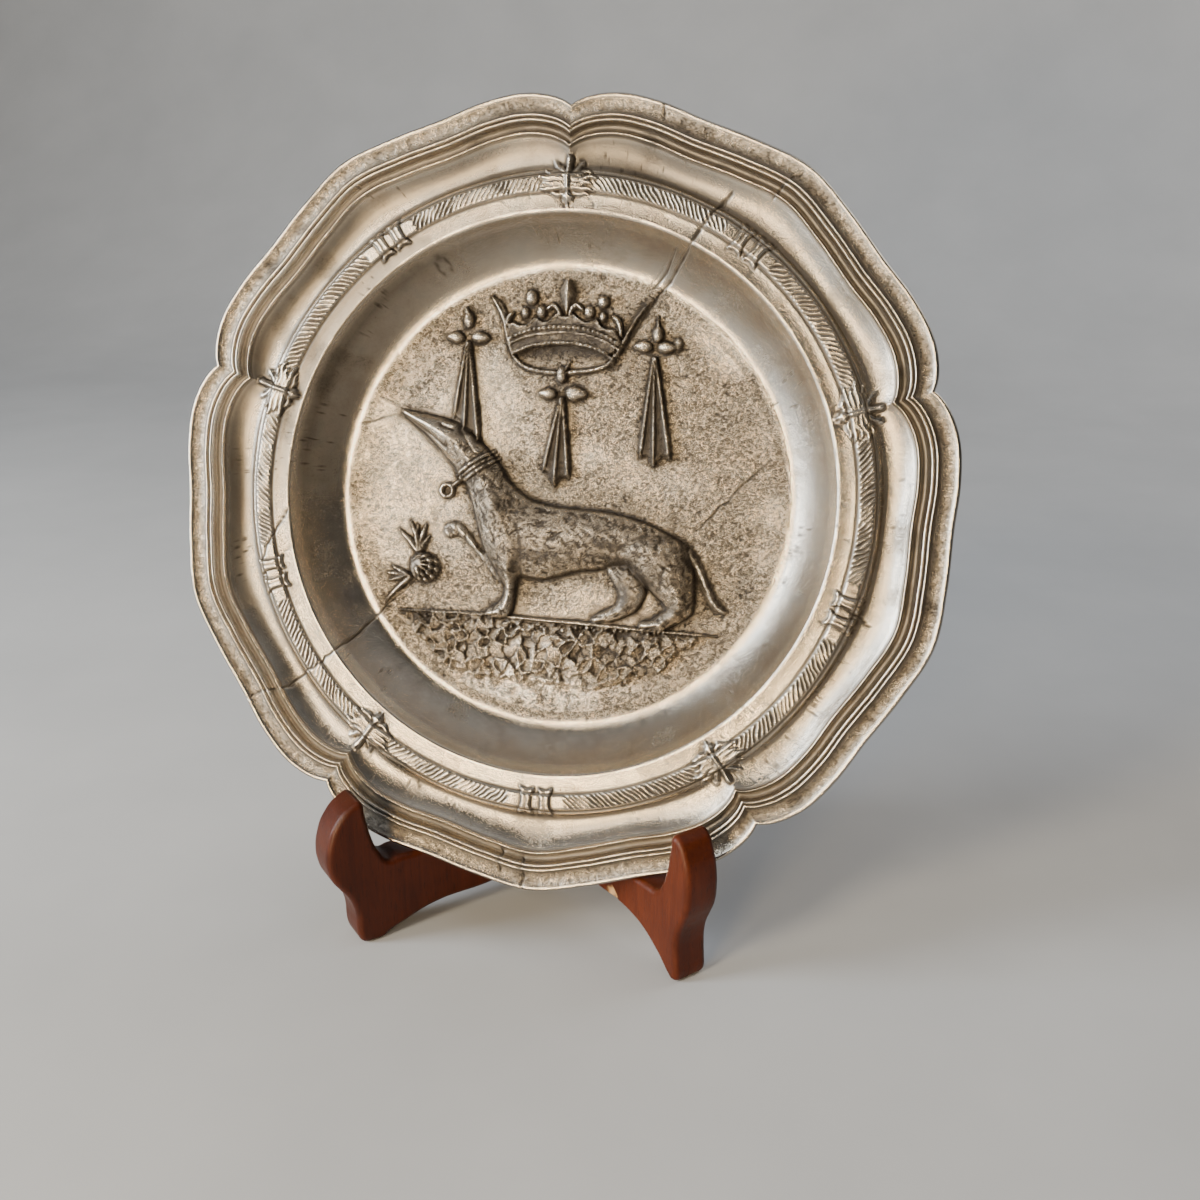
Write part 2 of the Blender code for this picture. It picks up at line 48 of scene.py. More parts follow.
BRIM = 82.0
LEAN = math.radians(17.0)
CENTRE = (0.0, 3.5, 129.6)
LOBES = 5
HALF_LOBE = 180.0 / LOBES
FIELD_RADIUS = 0.790 * BRIM
FIELD_LEVEL = -16.0
FIELD_EDGE_RISE = 0.32
BACK_LEVEL = -18.8
WALL_TOP_LEVEL = -3.1
RIBBON_EDGE_LEVEL = -2.45
SCOOP_LEVEL = -4.5
SCOOP_RIDGE_LEVEL = -2.6
SCOOP_OUTER_LEVEL = -1.25
RIBBON_MIDDLE = 89.5
RIBBON_INNER_GROOVE, RIBBON_OUTER_GROOVE = 1.0605, 1.1235
RIBBON_START, RIBBON_END, SCOOP_START = 1.040 * BRIM, 1.1255 * BRIM, 1.130 * BRIM
LOBE_OUTLINE = ((0.0, 1.354), (3.0, 1.388), (7.5, 1.405), (13.0, 1.399),
                (20.0, 1.384), (28.0, 1.397), (36.0, 1.418))
RIM_SHARE = 0.9975
BACK_ROUGH = 0.3
FIELD_CELLS = 298
RING_COLUMNS = 1740


# Numbers and noise

def value_noise(x, y, size, seed):
    """Smooth noise from 0 to 1 with cells of that size."""
    table = np.random.default_rng(seed).random((256, 256))
    u, v = x / size + 531.0, y / size + 417.0
    i, j = np.floor(u).astype(int), np.floor(v).astype(int)
    fu, fv = u - i, v - j
    fu, fv = fu * fu * (3 - 2 * fu), fv * fv * (3 - 2 * fv)
    a, b = table[i % 256, j % 256], table[(i + 1) % 256, j % 256]
    c, d = table[i % 256, (j + 1) % 256], table[(i + 1) % 256, (j + 1) % 256]
    return a * (1 - fu) * (1 - fv) + b * fu * (1 - fv) + c * (1 - fu) * fv + d * fu * fv


def turned(x, y, turn):
    """The same points in axes turned by that angle."""
    c, s = math.cos(turn), math.sin(turn)
    return x * c + y * s, y * c - x * s


def layered_noise(x, y, size, seed, layers=3):
    total, weight = np.zeros_like(x), 0.0
    for k in range(layers):
        share = 0.5 ** k
        total += share * value_noise(*turned(x, y, -(0.7 * k + 0.3)), size * share, seed + k)
        weight += share
    return total / weight


def smoothstep(low, high, value):
    u = np.clip((value - low) / (high - low), 0.0, 1.0)
    return u * u * (3 - 2 * u)


def window(low, start, end, high, value):
    """1 from start to end, falling smoothly to 0 at low and at high."""
    return smoothstep(low, start, value) * (1 - smoothstep(end, high, value))


def bell(value, middle, width):
    return np.exp(-((value - middle) / width) ** 2)


def patch(u, v, wide, high):
    return np.exp(-(u / wide) ** 2 - (v / high) ** 2)


def hermite(points, at):
    """A smooth value between listed (position, value) points, level at the last one."""
    last = len(points) - 1
    xs = np.array([p[0] for p in points])
    ys = np.array([p[1] for p in points])
    slopes = np.zeros(last + 1)
    slopes[1:last] = (ys[2:] - ys[:-2]) / (xs[2:] - xs[:-2])
    slopes[0] = 1.6 * (ys[1] - ys[0]) / (xs[1] - xs[0])
    slopes[last] = 0.0
    i = np.clip(np.searchsorted(xs, at, side="left") - 1, 0, last - 1)
    width = xs[i + 1] - xs[i]
    u = (at - xs[i]) / width
    return ((2 * u ** 3 - 3 * u ** 2 + 1) * ys[i] + (u ** 3 - 2 * u ** 2 + u) * width * slopes[i]
            + (3 * u ** 2 - 2 * u ** 3) * ys[i + 1] + (u ** 3 - u ** 2) * width * slopes[i + 1])


def smooth_line(points, steps=5, closed=False):
    """Points on a Catmull-Rom curve through the listed ones. Each may carry a radius as well."""
    knots = [tuple(p) for p in points]
    knots = [knots[-1]] + knots + knots[:2] if closed else [knots[0]] + knots + [knots[-1]]
    line = []
    for i in range(1, len(knots) - 2):
        for k in range(steps):
            u = k / steps
            line.append(tuple(
                0.5 * (2 * b + (c - a) * u + (2 * a - 5 * b + 4 * c - d) * u * u
                       + (3 * b - a - 3 * c + d) * u ** 3)
                for a, b, c, d in zip(*knots[i - 1:i + 3])))
    return line if closed else line + [knots[-1]]


def segment_distance(x, y, a, b):
    ex, ey = b[0] - a[0], b[1] - a[1]
    along = np.clip(((x - a[0]) * ex + (y - a[1]) * ey) / (ex * ex + ey * ey + 1e-12), 0, 1)
    return np.hypot(x - a[0] - along * ex, y - a[1] - along * ey), along


def depth_inside(x, y, outline):
    """Distance to a closed outline, positive inside it."""
    nearest = np.full(x.shape, 1e9)
    inside = np.zeros(x.shape, bool)
    for a, b in zip(outline, outline[1:] + outline[:1]):
        nearest = np.minimum(nearest, segment_distance(x, y, a, b)[0])
        crosses = (a[1] > y) != (b[1] > y)
        inside ^= crosses & (x < (b[0] - a[0]) * (y - a[1]) / (b[1] - a[1] + 1e-12) + a[0])
    return np.where(inside, nearest, -nearest)


def depth_in_stroke(x, y, line):
    """Distance inside a tapered stroke of (x, y, radius) points, with the place along it and its radius."""
    depth = np.full(x.shape, -1e9)
    place = np.zeros(x.shape)
    radius = np.full(x.shape, line[0][2])
    run = 0.0
    for a, b in zip(line, line[1:]):
        length = math.hypot(b[0] - a[0], b[1] - a[1])
        distance, along = segment_distance(x, y, a, b)
        wide = a[2] + (b[2] - a[2]) * along
        nearer = wide - distance > depth
        depth = np.where(nearer, wide - distance, depth)
        place = np.where(nearer, run + along * length, place)
        radius = np.where(nearer, wide, radius)
        run += length
    return depth, place, radius


class Relief:
    """Heights in millimetres over a cloud of points, with how dark the metal is there."""

    def __init__(self, x, y):
        self.x, self.y = x, y
        self.height, self.dark, self.figure = np.zeros((3, x.size))

    def near(self, points, margin):
        """The places of the cloud's points round the listed ones, with their x and y."""
        places = np.array([p[:2] for p in points])
        low, high = places.min(0) - margin, places.max(0) + margin
        at = np.nonzero((self.x > low[0]) & (self.x < high[0]) & (self.y > low[1]) & (self.y < high[1]))[0]
        return at, self.x[at], self.y[at]

    def darken(self, at, shade):
        self.dark[at] = np.maximum(self.dark[at], shade)

    def lay(self, at, depth, height, blend):
        """Put a raised form over what is there, blended with what is as high."""
        old = self.height[at]
        k = np.minimum(blend, np.maximum(np.minimum(old, height), 0.0)) + 1e-6
        joined = np.maximum(old, height) + np.maximum(k - np.abs(old - height), 0.0) ** 2 / (4 * k)
        self.height[at] = np.where(depth > 0, joined, old)
        self.figure[at] = np.maximum(self.figure[at], np.clip(depth / 0.5, 0, 1))

    def halo(self, at, depth, width, dark=0.75):
        """A worn-dark, slightly sunk line where a figure meets the ground."""
        out, within = np.minimum(depth, 0.0), np.maximum(depth, 0.0)
        outside = bell(out, 0.0, width) * (depth <= 0)
        wide = np.exp(out / (1.9 * width)) * (depth <= 0)
        inside = bell(within, 0.0, 0.5 * width) * (depth > 0)
        uneven = 0.45 + 0.75 * value_noise(self.x[at], self.y[at], 3.1, 77)
        low = self.figure[at] < 0.5
        self.height[at] -= 0.22 * outside * low
        shade = np.maximum((0.55 * outside + 0.45 * wide) * low, 0.6 * inside)
        self.darken(at, dark * np.minimum(uneven, 1.0) * shade)

    def outline(self, points, rise, width, steps=4, roof=False, halo=0.8, dark=0.75):
        line = smooth_line(points, steps, closed=True)
        at, x, y = self.near(line, 3.0)
        depth = depth_inside(x, y, line)
        self.halo(at, depth, halo, dark)
        self.lay(at, depth, rise * swelling(depth / width, roof), 0.4)

    def swell(self, points, rise, width):
        """Lift part of a figure, as a thigh or a shoulder."""
        line = smooth_line(points, 4, closed=True)
        at, x, y = self.near(line, 1.0)
        depth = depth_inside(x, y, line)
        self.height[at] += rise * smoothstep(-0.3, width, depth)
        self.darken(at, 0.5 * bell(depth, -0.3, 0.5))

    def stroke(self, points, rise, blend=0.3, twist=None, roof=False, halo=0.6, steps=5, over=False, dark=0.75):
        """A raised bar. over adds it on top of what is there, and twist cuts it like a cable."""
        line = smooth_line(points, steps)
        at, x, y = self.near(line, 4.0)
        depth, place, radius = depth_in_stroke(x, y, line)
        form = swelling(depth / radius, roof)
        if twist:
            wave = np.sin(2 * math.pi * place / twist + 2.0 * np.clip(depth / radius, 0, 1))
            form = form * (1 - 0.28 * (0.5 + 0.5 * wave))
        if over:
            edge = bell(depth, -0.15, 0.3)
            self.height[at] += rise * form - 0.18 * edge
            self.darken(at, dark * edge)
            return
        self.halo(at, depth, halo, dark)
        self.lay(at, depth, rise * form, blend)

    def bead(self, x, y, wide, high, rise, turn=0.0, point=0.0):
        """An oval boss, drawn out to a point at one end if asked."""
        at, px, py = self.near([(x, y)], max(wide, high) + 3.5)
        u, v = turned(px - x, py - y, turn)
        u = u / wide
        v = v / high * (1 + point * np.clip(u, 0, 1.2))
        u = np.where(u > 0, u / (1 + 0.5 * abs(point)), u)
        far = np.hypot(u, v)
        depth = (1 - far) * min(wide, high)
        self.halo(at, depth, 0.9)
        self.lay(at, depth, rise * np.sqrt(np.clip(1 - far ** 2, 0, 1)), 0.15)

    def cut(self, points, depth, width, dark=0.8, steps=3):
        """A scored line."""
        line = [(p[0], p[1], width) for p in points]
        if len(line) > 2:
            line = smooth_line(line, steps)
        at, x, y = self.near(line, 3 * width + 0.6)
        inside = depth_in_stroke(x, y, line)[0]
        shape = bell(np.clip(width - inside, 0, None), 0.0, width)
        self.height[at] -= depth * shape
        self.darken(at, dark * shape)


def swelling(share, roof=False):
    """Height across a form from its edge inwards: round, or with straight sides like a roof."""
    share = np.clip(share, 0, 1)
    return share if roof else np.sqrt(1 - (1 - share) ** 2)


# The relief's figures

ERMINE = ((-51.1, 24.3), (-46.1, 23.7), (-40.7, 22.8), (-36.2, 21.8), (-31.7, 20.0), (-28.1, 17.2),
          (-24.9, 14.4), (-22.6, 12.4), (-19.3, 8.4), (-16.9, 4.7), (-13.3, 1.5), (-8.8, -1.2),
          (-2.6, -2.5), (4.2, -3.0), (10.2, -3.3), (17.1, -3.9), (23.0, -5.2), (28.2, -7.0),
          (33.3, -9.2), (37.2, -11.4), (39.4, -13.8), (40.7, -17.8), (41.4, -22.7), (41.7, -27.7),
          (41.4, -31.9), (39.0, -34.1), (35.0, -36.6), (32.6, -38.1), (29.6, -37.7), (25.6, -37.2),
          (26.1, -35.6), (29.0, -34.7), (31.8, -32.7), (33.4, -30.6), (29.4, -26.9), (24.9, -23.2),
          (22.3, -20.8), (20.1, -19.5), (17.1, -19.7), (12.1, -20.7), (5.3, -21.9), (0.2, -23.6),
          (-4.9, -24.8), (-10.1, -24.3), (-11.9, -24.6), (-12.6, -26.7), (-12.9, -30.2), (-13.4, -34.0),
          (-14.7, -36.8), (-18.2, -37.6), (-21.8, -36.7), (-21.0, -34.7), (-18.0, -32.8), (-16.4, -30.2),
          (-16.3, -27.6), (-18.0, -25.0), (-20.8, -21.3), (-22.9, -17.6), (-24.3, -13.4), (-25.9, -8.4),
          (-27.5, -3.4), (-29.2, 1.1), (-30.9, 3.8), (-32.6, 5.6), (-33.8, 7.7), (-36.6, 10.5),
          (-40.3, 14.2), (-44.0, 17.6), (-48.2, 20.8), (-51.0, 23.0))
FAR_HIND_LEG = ((14.9, -19.8), (16.8, -23.6), (18.6, -26.8), (18.8, -30.2), (15.6, -32.5), (12.7, -34.2),
                (11.0, -35.8), (12.4, -36.9), (17.0, -36.3), (21.6, -34.2), (24.5, -32.4), (26.4, -29.2),
                (27.2, -25.3), (25.4, -21.5), (22.1, -18.7))
RAISED_FORELEG = ((-15.8, -26.9), (-18.6, -26.1), (-22.4, -21.9), (-26.6, -17.0), (-30.3, -13.8),
                  (-32.3, -13.2), (-34.3, -14.0), (-36.0, -12.9), (-36.3, -10.9), (-34.8, -9.4),
                  (-31.6, -9.2), (-29.2, -11.0), (-26.8, -14.0), (-24.4, -17.3), (-20.0, -19.1))
TAIL = ((37.2, -11.2), (40.5, -13.4), (43.6, -18.1), (46.1, -22.9), (48.6, -27.7), (51.6, -31.4),
        (47.8, -30.8), (45.3, -27.9), (43.0, -23.1), (41.1, -19.1), (39.0, -16.3))
THIGH = ((18.6, -15.6), (23.5, -11.2), (31.0, -10.0), (37.0, -12.2), (40.6, -18.6), (41.3, -27.0),
         (38.0, -31.5), (33.6, -30.2), (28.5, -25.5), (22.6, -20.4))
SHOULDER = ((-27.0, -2.0), (-21.5, 1.0), (-15.5, -5.0), (-11.5, -13.0), (-11.2, -22.0), (-13.0, -28.0),
            (-16.0, -27.5), (-20.0, -21.5), (-23.6, -14.5), (-25.8, -8.0))
GROUND = ((-48.6, -37.0), (-45.8, -40.3), (-41.3, -46.9), (-34.8, -53.0), (-26.6, -56.0), (-16.7, -56.9),
          (-1.8, -57.2), (15.4, -55.6), (27.0, -52.0), (34.3, -48.2), (39.0, -44.0), (42.5, -39.0),
          (26.0, -37.6), (0.0, -37.2), (-25.0, -36.6))
LEDGE = ((-49.9, -37.1), (-23.0, -36.6), (-14.1, -36.9), (11.1, -37.4), (25.7, -37.9), (38.3, -38.1),
         (49.6, -38.2))
CROWN_EDGE = ((-19.2, 50.8), (-17.4, 51.2), (-15.5, 50.4), (-13.2, 50.9), (-11.6, 52.3), (-10.7, 52.9),
              (-8.8, 51.8), (-6.8, 51.9), (-5.1, 53.4), (-4.2, 54.3), (-3.4, 53.6), (-0.5, 53.6),
              (0.6, 54.2), (2.0, 53.1), (4.4, 52.0), (6.4, 52.2), (7.8, 52.9), (8.7, 51.3), (10.5, 50.2),
              (13.4, 49.8))
CABLE_UPPER = ((-18.4, 46.8), (-13.1, 49.1), (-7.3, 50.2), (-1.4, 50.6), (4.5, 50.1), (10.4, 48.4),
               (14.8, 46.0))
CABLE_LOWER = ((-17.2, 42.5), (-11.7, 44.8), (-7.0, 45.6), (-1.7, 46.0), (4.2, 45.5), (9.5, 44.0),
               (13.2, 41.7))
CROWN_RING = ((-18.0, 43.6), (-16.2, 40.6), (-13.1, 38.5), (-8.9, 37.5), (-5.1, 37.2), (-1.2, 37.2),
              (1.7, 37.5), (6.4, 38.1), (10.1, 39.2), (12.7, 40.9), (13.6, 43.0))
PEARLS = ((-12.3, 59.1, 1.75, 2.2, 2.5), (-14.1, 54.6, 1.2, 1.6, 2.0), (-9.2, 55.1, 1.45, 1.9, 2.1),
          (9.5, 58.4, 1.7, 1.8, 2.3), (5.4, 55.3, 1.45, 1.9, 2.1), (9.6, 54.0, 1.1, 1.5, 1.8))
MUSCLES = ((31.5, -19.5, 6.5, 9.0, 0.5, 0.7), (-20.5, -6.0, 4.0, 9.5, -0.25, 0.7),
           (-31.0, 15.5, 7.0, 3.2, -0.75, 0.5), (4.0, -11.0, 16.0, 5.0, -0.06, 0.35))
# Darker patches on the ermine's body: x, y, width, height and strength.
BODY_DARK_PATCHES = ((14.5, -13.5, 4.5, 1.8, 0.75), (-6.0, -17.5, 8.0, 2.2, 0.45), (-16.0, -3.0, 6.0, 2.0, 0.4),
               (20.5, -27.5, 2.5, 4.0, 0.6), (-12.6, -20.0, 2.2, 4.0, 0.5))
# Worn polish with painted highlight over it, low in the field and at the upper left: x, y, width, height and
# strength.
RUBBED_POLISH_AND_HIGHLIGHT = ((-6.0, -58.5, 26.0, 6.0, 0.75), (-50.0, 36.0, 14.0, 18.0, 0.35))
TOES = (((-21.9, -35.8), (-19.0, -35.1)), ((-21.0, -37.0), (-17.8, -36.1)), ((25.8, -36.5), (29.2, -35.9)),
        ((28.0, -37.4), (31.0, -36.3)), ((11.4, -35.5), (14.4, -34.7)), ((12.2, -36.5), (15.4, -35.8)),
        ((-35.9, -11.2), (-33.6, -11.6)))
SPOTS = (((-31.5, 52.0), (-35.2, 46.7), (-27.7, 46.9), (-33.2, 58.4), (-34.6, 22.9), (-31.2, 17.6), (-26.7, 15.6)),
         ((-2.0, 36.6), (-5.8, 30.9), (2.4, 31.2), (0.5, 41.0), (-6.0, 7.8), (-2.6, 3.2), (1.6, 6.0)),
         ((26.3, 49.3), (22.2, 45.7), (29.0, 45.6), (26.1, 54.6), (23.1, 13.2), (27.2, 11.0), (31.8, 13.1)))
CRACKS = (((14.5, 43.5), (20.0, 53.0), (27.0, 62.0), (33.5, 70.0), (41.3, 81.0), (46.5, 87.0)),
          ((24.5, 63.0), (28.0, 66.5), (31.5, 72.5)),
          ((40.2, -8.2), (46.0, -2.5), (51.5, 4.1), (61.8, 14.4)),
          ((-44.9, -27.2), (-51.0, -33.5), (-55.5, -38.5), (-62.3, -47.2)),
          ((-58.2, 27.7), (-54.5, 26.6), (-50.5, 24.6)),
          ((-64.3, 19.5), (-57.5, 21.5), (-51.0, 23.4)))


def with_radius(points, start, middle=None, end=None):
    """Give a line of points the radii of a bar that may taper."""
    middle = start if middle is None else middle
    end = start if end is None else end
    count = len(points) - 1
    radii = [start + (middle - start) * 2 * k / count if 2 * k <= count
             else middle + (end - middle) * (2 * k / count - 1) for k in range(count + 1)]
    return [(p[0], p[1], r) for p, r in zip(points, radii)]


def carve_ermine(relief):
    relief.outline(FAR_HIND_LEG, 2.9, 4.0, halo=1.2)
    relief.outline(RAISED_FORELEG, 1.45, 2.6, halo=0.6, dark=0.6)
    relief.outline(TAIL, 2.0, 1.6, roof=True)
    relief.outline(ERMINE, 5.6, 10.5, halo=1.4, steps=3)
    relief.swell(THIGH, 0.9, 3.4)
    relief.swell(SHOULDER, 0.6, 3.6)
    for mx, my, wide, high, turn, lift in MUSCLES:
        at, x, y = relief.near([(mx, my)], 2.2 * max(wide, high))
        u, v = turned(x - mx, y - my, turn)
        relief.height[at] += lift * patch(u, v, wide, high) * (relief.figure[at] > 0.5)
    for mx, my, wide, high, dark in BODY_DARK_PATCHES:
        at, x, y = relief.near([(mx, my)], 2.2 * max(wide, high))
        shade = patch(x - mx, y - my, wide, high)
        patchy = smoothstep(0.35, 0.75, layered_noise(x, y, 1.7, 83, 2) + 0.35 * shade)
        relief.darken(at, dark * shade ** 0.6 * patchy)
    relief.stroke(((-26.0, 13.4, 1.4), (-28.0, 16.6, 1.7), (-31.2, 19.2, 0.6)), 0.55, over=True, dark=0.45)
    relief.cut(((-51.0, 23.3), (-46.9, 20.9), (-41.4, 17.3), (-36.1, 13.4)), 0.55, 0.32)
    relief.cut(((-49.0, 21.2), (-43.0, 17.0), (-37.6, 12.2)), 0.35, 0.26, dark=0.6)
    relief.cut(((-38.0, 19.9), (-33.9, 18.6)), 0.5, 0.34, dark=1.0)
    relief.cut(((-38.9, 20.8), (-36.4, 19.3)), 0.3, 0.24, dark=0.8)
    relief.stroke(((-37.2, 20.6, 0.5), (-34.0, 19.8, 0.5)), 0.35, over=True, dark=0.3)
    for shift, rise in ((0.0, 0.75), (1.3, 0.55), (2.7, 0.75)):
        dx, dy = -0.62 * shift, 0.78 * shift
        relief.stroke(((-31.0 + dx, 3.3 + dy, 0.55), (-27.5 + dx, 5.5 + dy, 0.6), (-23.2 + dx, 8.6 + dy, 0.6),
                       (-20.0 + dx, 10.9 + dy, 0.5)), rise, over=True)
    ring = [(-35.9 + 1.85 * math.cos(t), 0.4 + 1.85 * math.sin(t), 0.55) for t in np.linspace(0.0, 6.2832, 17)]
    relief.stroke(ring, 1.7, steps=2)
    relief.cut(((-36.0, 0.4), (-35.8, 0.4)), 0.2, 0.75, dark=0.8)
    relief.stroke(((-34.3, 1.8, 0.45), (-31.0, 4.2, 0.6)), 1.9)
    relief.bead(-31.1, 4.4, 1.1, 0.9, 3.6)
    for toe in TOES:
        relief.cut(toe, 0.35, 0.22)
    rng = np.random.default_rng(41)
    for form, count, inset in ((ERMINE, 520, 1.1), (FAR_HIND_LEG, 46, 0.6), (TAIL, 26, 0.4),
                               (RAISED_FORELEG, 30, 0.6)):
        fur(relief, form, count, inset, rng)


def fur(relief, form, count, inset, rng):
    """Short scored hairs that follow the animal's lie, some of them worn away."""
    body = smooth_line(form, 2, closed=True)
    xs, ys = [p[0] for p in form], [p[1] for p in form]
    made = 0
    while made < count:
        x, y = rng.uniform(max(min(xs), -36.0), max(xs)), rng.uniform(min(ys), min(max(ys), 15.0))
        if depth_inside(np.array([x]), np.array([y]), body)[0] < inset:
            continue
        made += 1
        lie = -0.95 if x < -14 else -0.25 - 0.012 * (x + 14)
        turn = lie + rng.normal(0.0, 0.45)
        length = rng.uniform(0.9, 2.6)
        dx, dy = 0.5 * length * math.cos(turn), 0.5 * length * math.sin(turn)
        relief.cut(((x - dx, y - dy), (x + dx, y + dy)), rng.uniform(0.12, 0.32), 0.21, dark=rng.uniform(0.35, 1.0))


def carve_crown(relief):
    band = list(CROWN_EDGE + ((15.6, 47.0), (14.6, 45.0), (12.6, 42.8)) + CABLE_LOWER[-2::-1]
                + ((-18.4, 44.0), (-19.4, 47.4)))
    relief.outline(band, 1.35, 0.7, steps=2, halo=1.3)
    at, x, y = relief.near(band, 0.0)
    worn = smoothstep(0.3, 0.7, layered_noise(x, y, 1.3, 91, 2))
    relief.darken(at, (0.28 + 0.3 * worn) * smoothstep(0.0, 0.5, depth_inside(x, y, band)))
    relief.stroke(with_radius(CROWN_EDGE, 0.42), 1.75, steps=4, halo=0.35)
    relief.stroke(with_radius(CABLE_UPPER, 0.62, 0.8, 0.62), 2.6, twist=1.5)
    relief.stroke(with_radius([(x + 0.1, y - 1.55) for x, y in CABLE_UPPER], 0.4, 0.5, 0.4), 2.2)
    relief.stroke(with_radius(CABLE_LOWER, 0.5, 0.66, 0.5), 2.5, twist=1.4)
    relief.stroke(with_radius(CROWN_RING, 0.5, 0.62, 0.5), 1.7, twist=1.7)
    relief.outline(((-24.4, 58.9), (-21.6, 57.4), (-19.9, 54.4), (-19.2, 50.4), (-18.6, 46.0), (-19.8, 48.5),
                    (-21.2, 52.4)), 0.8, 0.6)
    relief.stroke(((-24.6, 59.2, 0.2), (-22.4, 56.0, 0.5), (-20.6, 52.7, 0.6), (-19.7, 49.3, 0.6),
                   (-18.8, 45.9, 0.6), (-17.2, 41.7, 0.4)), 1.7)
    # The right fin's wide dark halo and the dark groove beside it are painted shadow to the right of the fin, over
    # the groove's own patina.
    relief.outline(((23.9, 59.2), (21.5, 56.1), (18.9, 51.5), (16.6, 46.4), (14.8, 43.0), (13.0, 39.5),
                    (12.9, 41.4), (14.8, 45.2), (16.9, 49.6), (18.8, 53.0), (20.4, 55.4), (22.2, 57.6)), 1.5, 1.1,
                   halo=1.6, dark=0.95)
    relief.cut(((15.6, 43.5), (18.6, 49.0), (22.0, 54.5), (25.2, 59.5)), 0.5, 0.5, dark=1.0)
    relief.outline(((-1.6, 66.9), (-2.7, 64.2), (-3.7, 61.2), (-3.0, 58.4), (-2.2, 55.4), (-1.6, 54.0),
                    (-1.0, 55.6), (0.2, 58.6), (1.1, 61.2), (-0.2, 64.4)), 2.6, 2.2, roof=True, halo=1.2)
    relief.stroke(((-7.2, 55.9, 0.55), (-5.7, 57.0, 0.65), (-4.3, 56.0, 0.6), (-3.4, 54.4, 0.5)), 1.9)
    relief.stroke(((3.2, 56.0, 0.55), (1.6, 57.2, 0.65), (0.2, 56.3, 0.6), (-0.4, 54.6, 0.5)), 1.9)
    relief.stroke(((-18.0, 54.4, 0.5), (-19.1, 53.0, 0.8), (-19.4, 51.2, 0.6)), 2.0)
    relief.stroke(((12.8, 53.9, 0.6), (14.0, 53.2, 0.8), (14.9, 51.2, 0.7), (15.4, 48.8, 0.5)), 2.1)
    for x, y, wide, high, rise in PEARLS:
        relief.bead(x, y, wide, high, rise + 0.3)
    opening = smooth_line(CABLE_LOWER + CROWN_RING[::-1], 2, closed=True)
    inner = depth_inside(relief.x, relief.y, opening)
    shade = smoothstep(0.2, 1.2, inner) * smoothstep(38.5, 44.0, relief.y)
    relief.darken(slice(None), 0.85 * shade * (relief.figure < 0.3))


def carve_spots(relief):
    """Heraldic ermine spots: three drops and a spike over a tail of three ridges."""
    for top, left, right, spike, foot_left, foot, foot_right in SPOTS:
        neck = (0.5 * (left[0] + right[0]) + 0.1, top[1] - 6.8)
        tail = [(neck[0] - 0.6, neck[1]), foot_left,
                (0.55 * foot_left[0] + 0.45 * foot[0], 0.5 * (foot_left[1] + foot[1]) + 1.6), foot,
                (0.55 * foot_right[0] + 0.45 * foot[0], 0.5 * (foot_right[1] + foot[1]) + 1.8), foot_right,
                (neck[0] + 0.8, neck[1])]
        at, x, y = relief.near(tail, 3.0)
        depth = depth_inside(x, y, tail)
        relief.halo(at, depth, 1.1, 0.9)
        relief.lay(at, depth, swelling(depth / 0.6, True), 0.1)
        relief.darken(at, 0.75 * smoothstep(0.0, 0.5, depth))
        for end, share in ((foot_left, 0.8), (foot, 1.0), (foot_right, 0.8)):
            x0, y0 = neck[0] + 0.35 * np.sign(end[0] - foot[0]), neck[1]
            relief.stroke(((x0, y0, 0.4), (0.5 * (x0 + end[0]), 0.5 * (y0 + end[1]), share),
                           (0.2 * x0 + 0.8 * end[0], 0.2 * y0 + 0.8 * end[1], 1.35 * share), (*end, 0.25)),
                          2.3, roof=True, blend=0.02, halo=0.3, dark=0.35)
        relief.stroke(((top[0], top[1] + 1.0, 0.8), (0.5 * (top[0] + spike[0]), 0.55 * top[1] + 0.45 * spike[1], 0.5),
                       (*spike, 0.12)), 1.3)
        relief.bead(*top, 1.55, 2.45, 2.6)
        relief.bead(*left, 2.5, 1.75, 2.7, turn=math.pi, point=0.5)
        wide, high = (2.6, 1.75) if top[1] > 40 else (3.0, 2.3)
        relief.bead(*right, wide, high, 2.7, point=0.4)
    relief.bead(32.4, 46.4, 1.3, 1.9, 1.1)
    relief.cut(((21.5, 23.5), (22.6, 24.5), (22.0, 25.5)), 0.2, 0.7, dark=0.7)


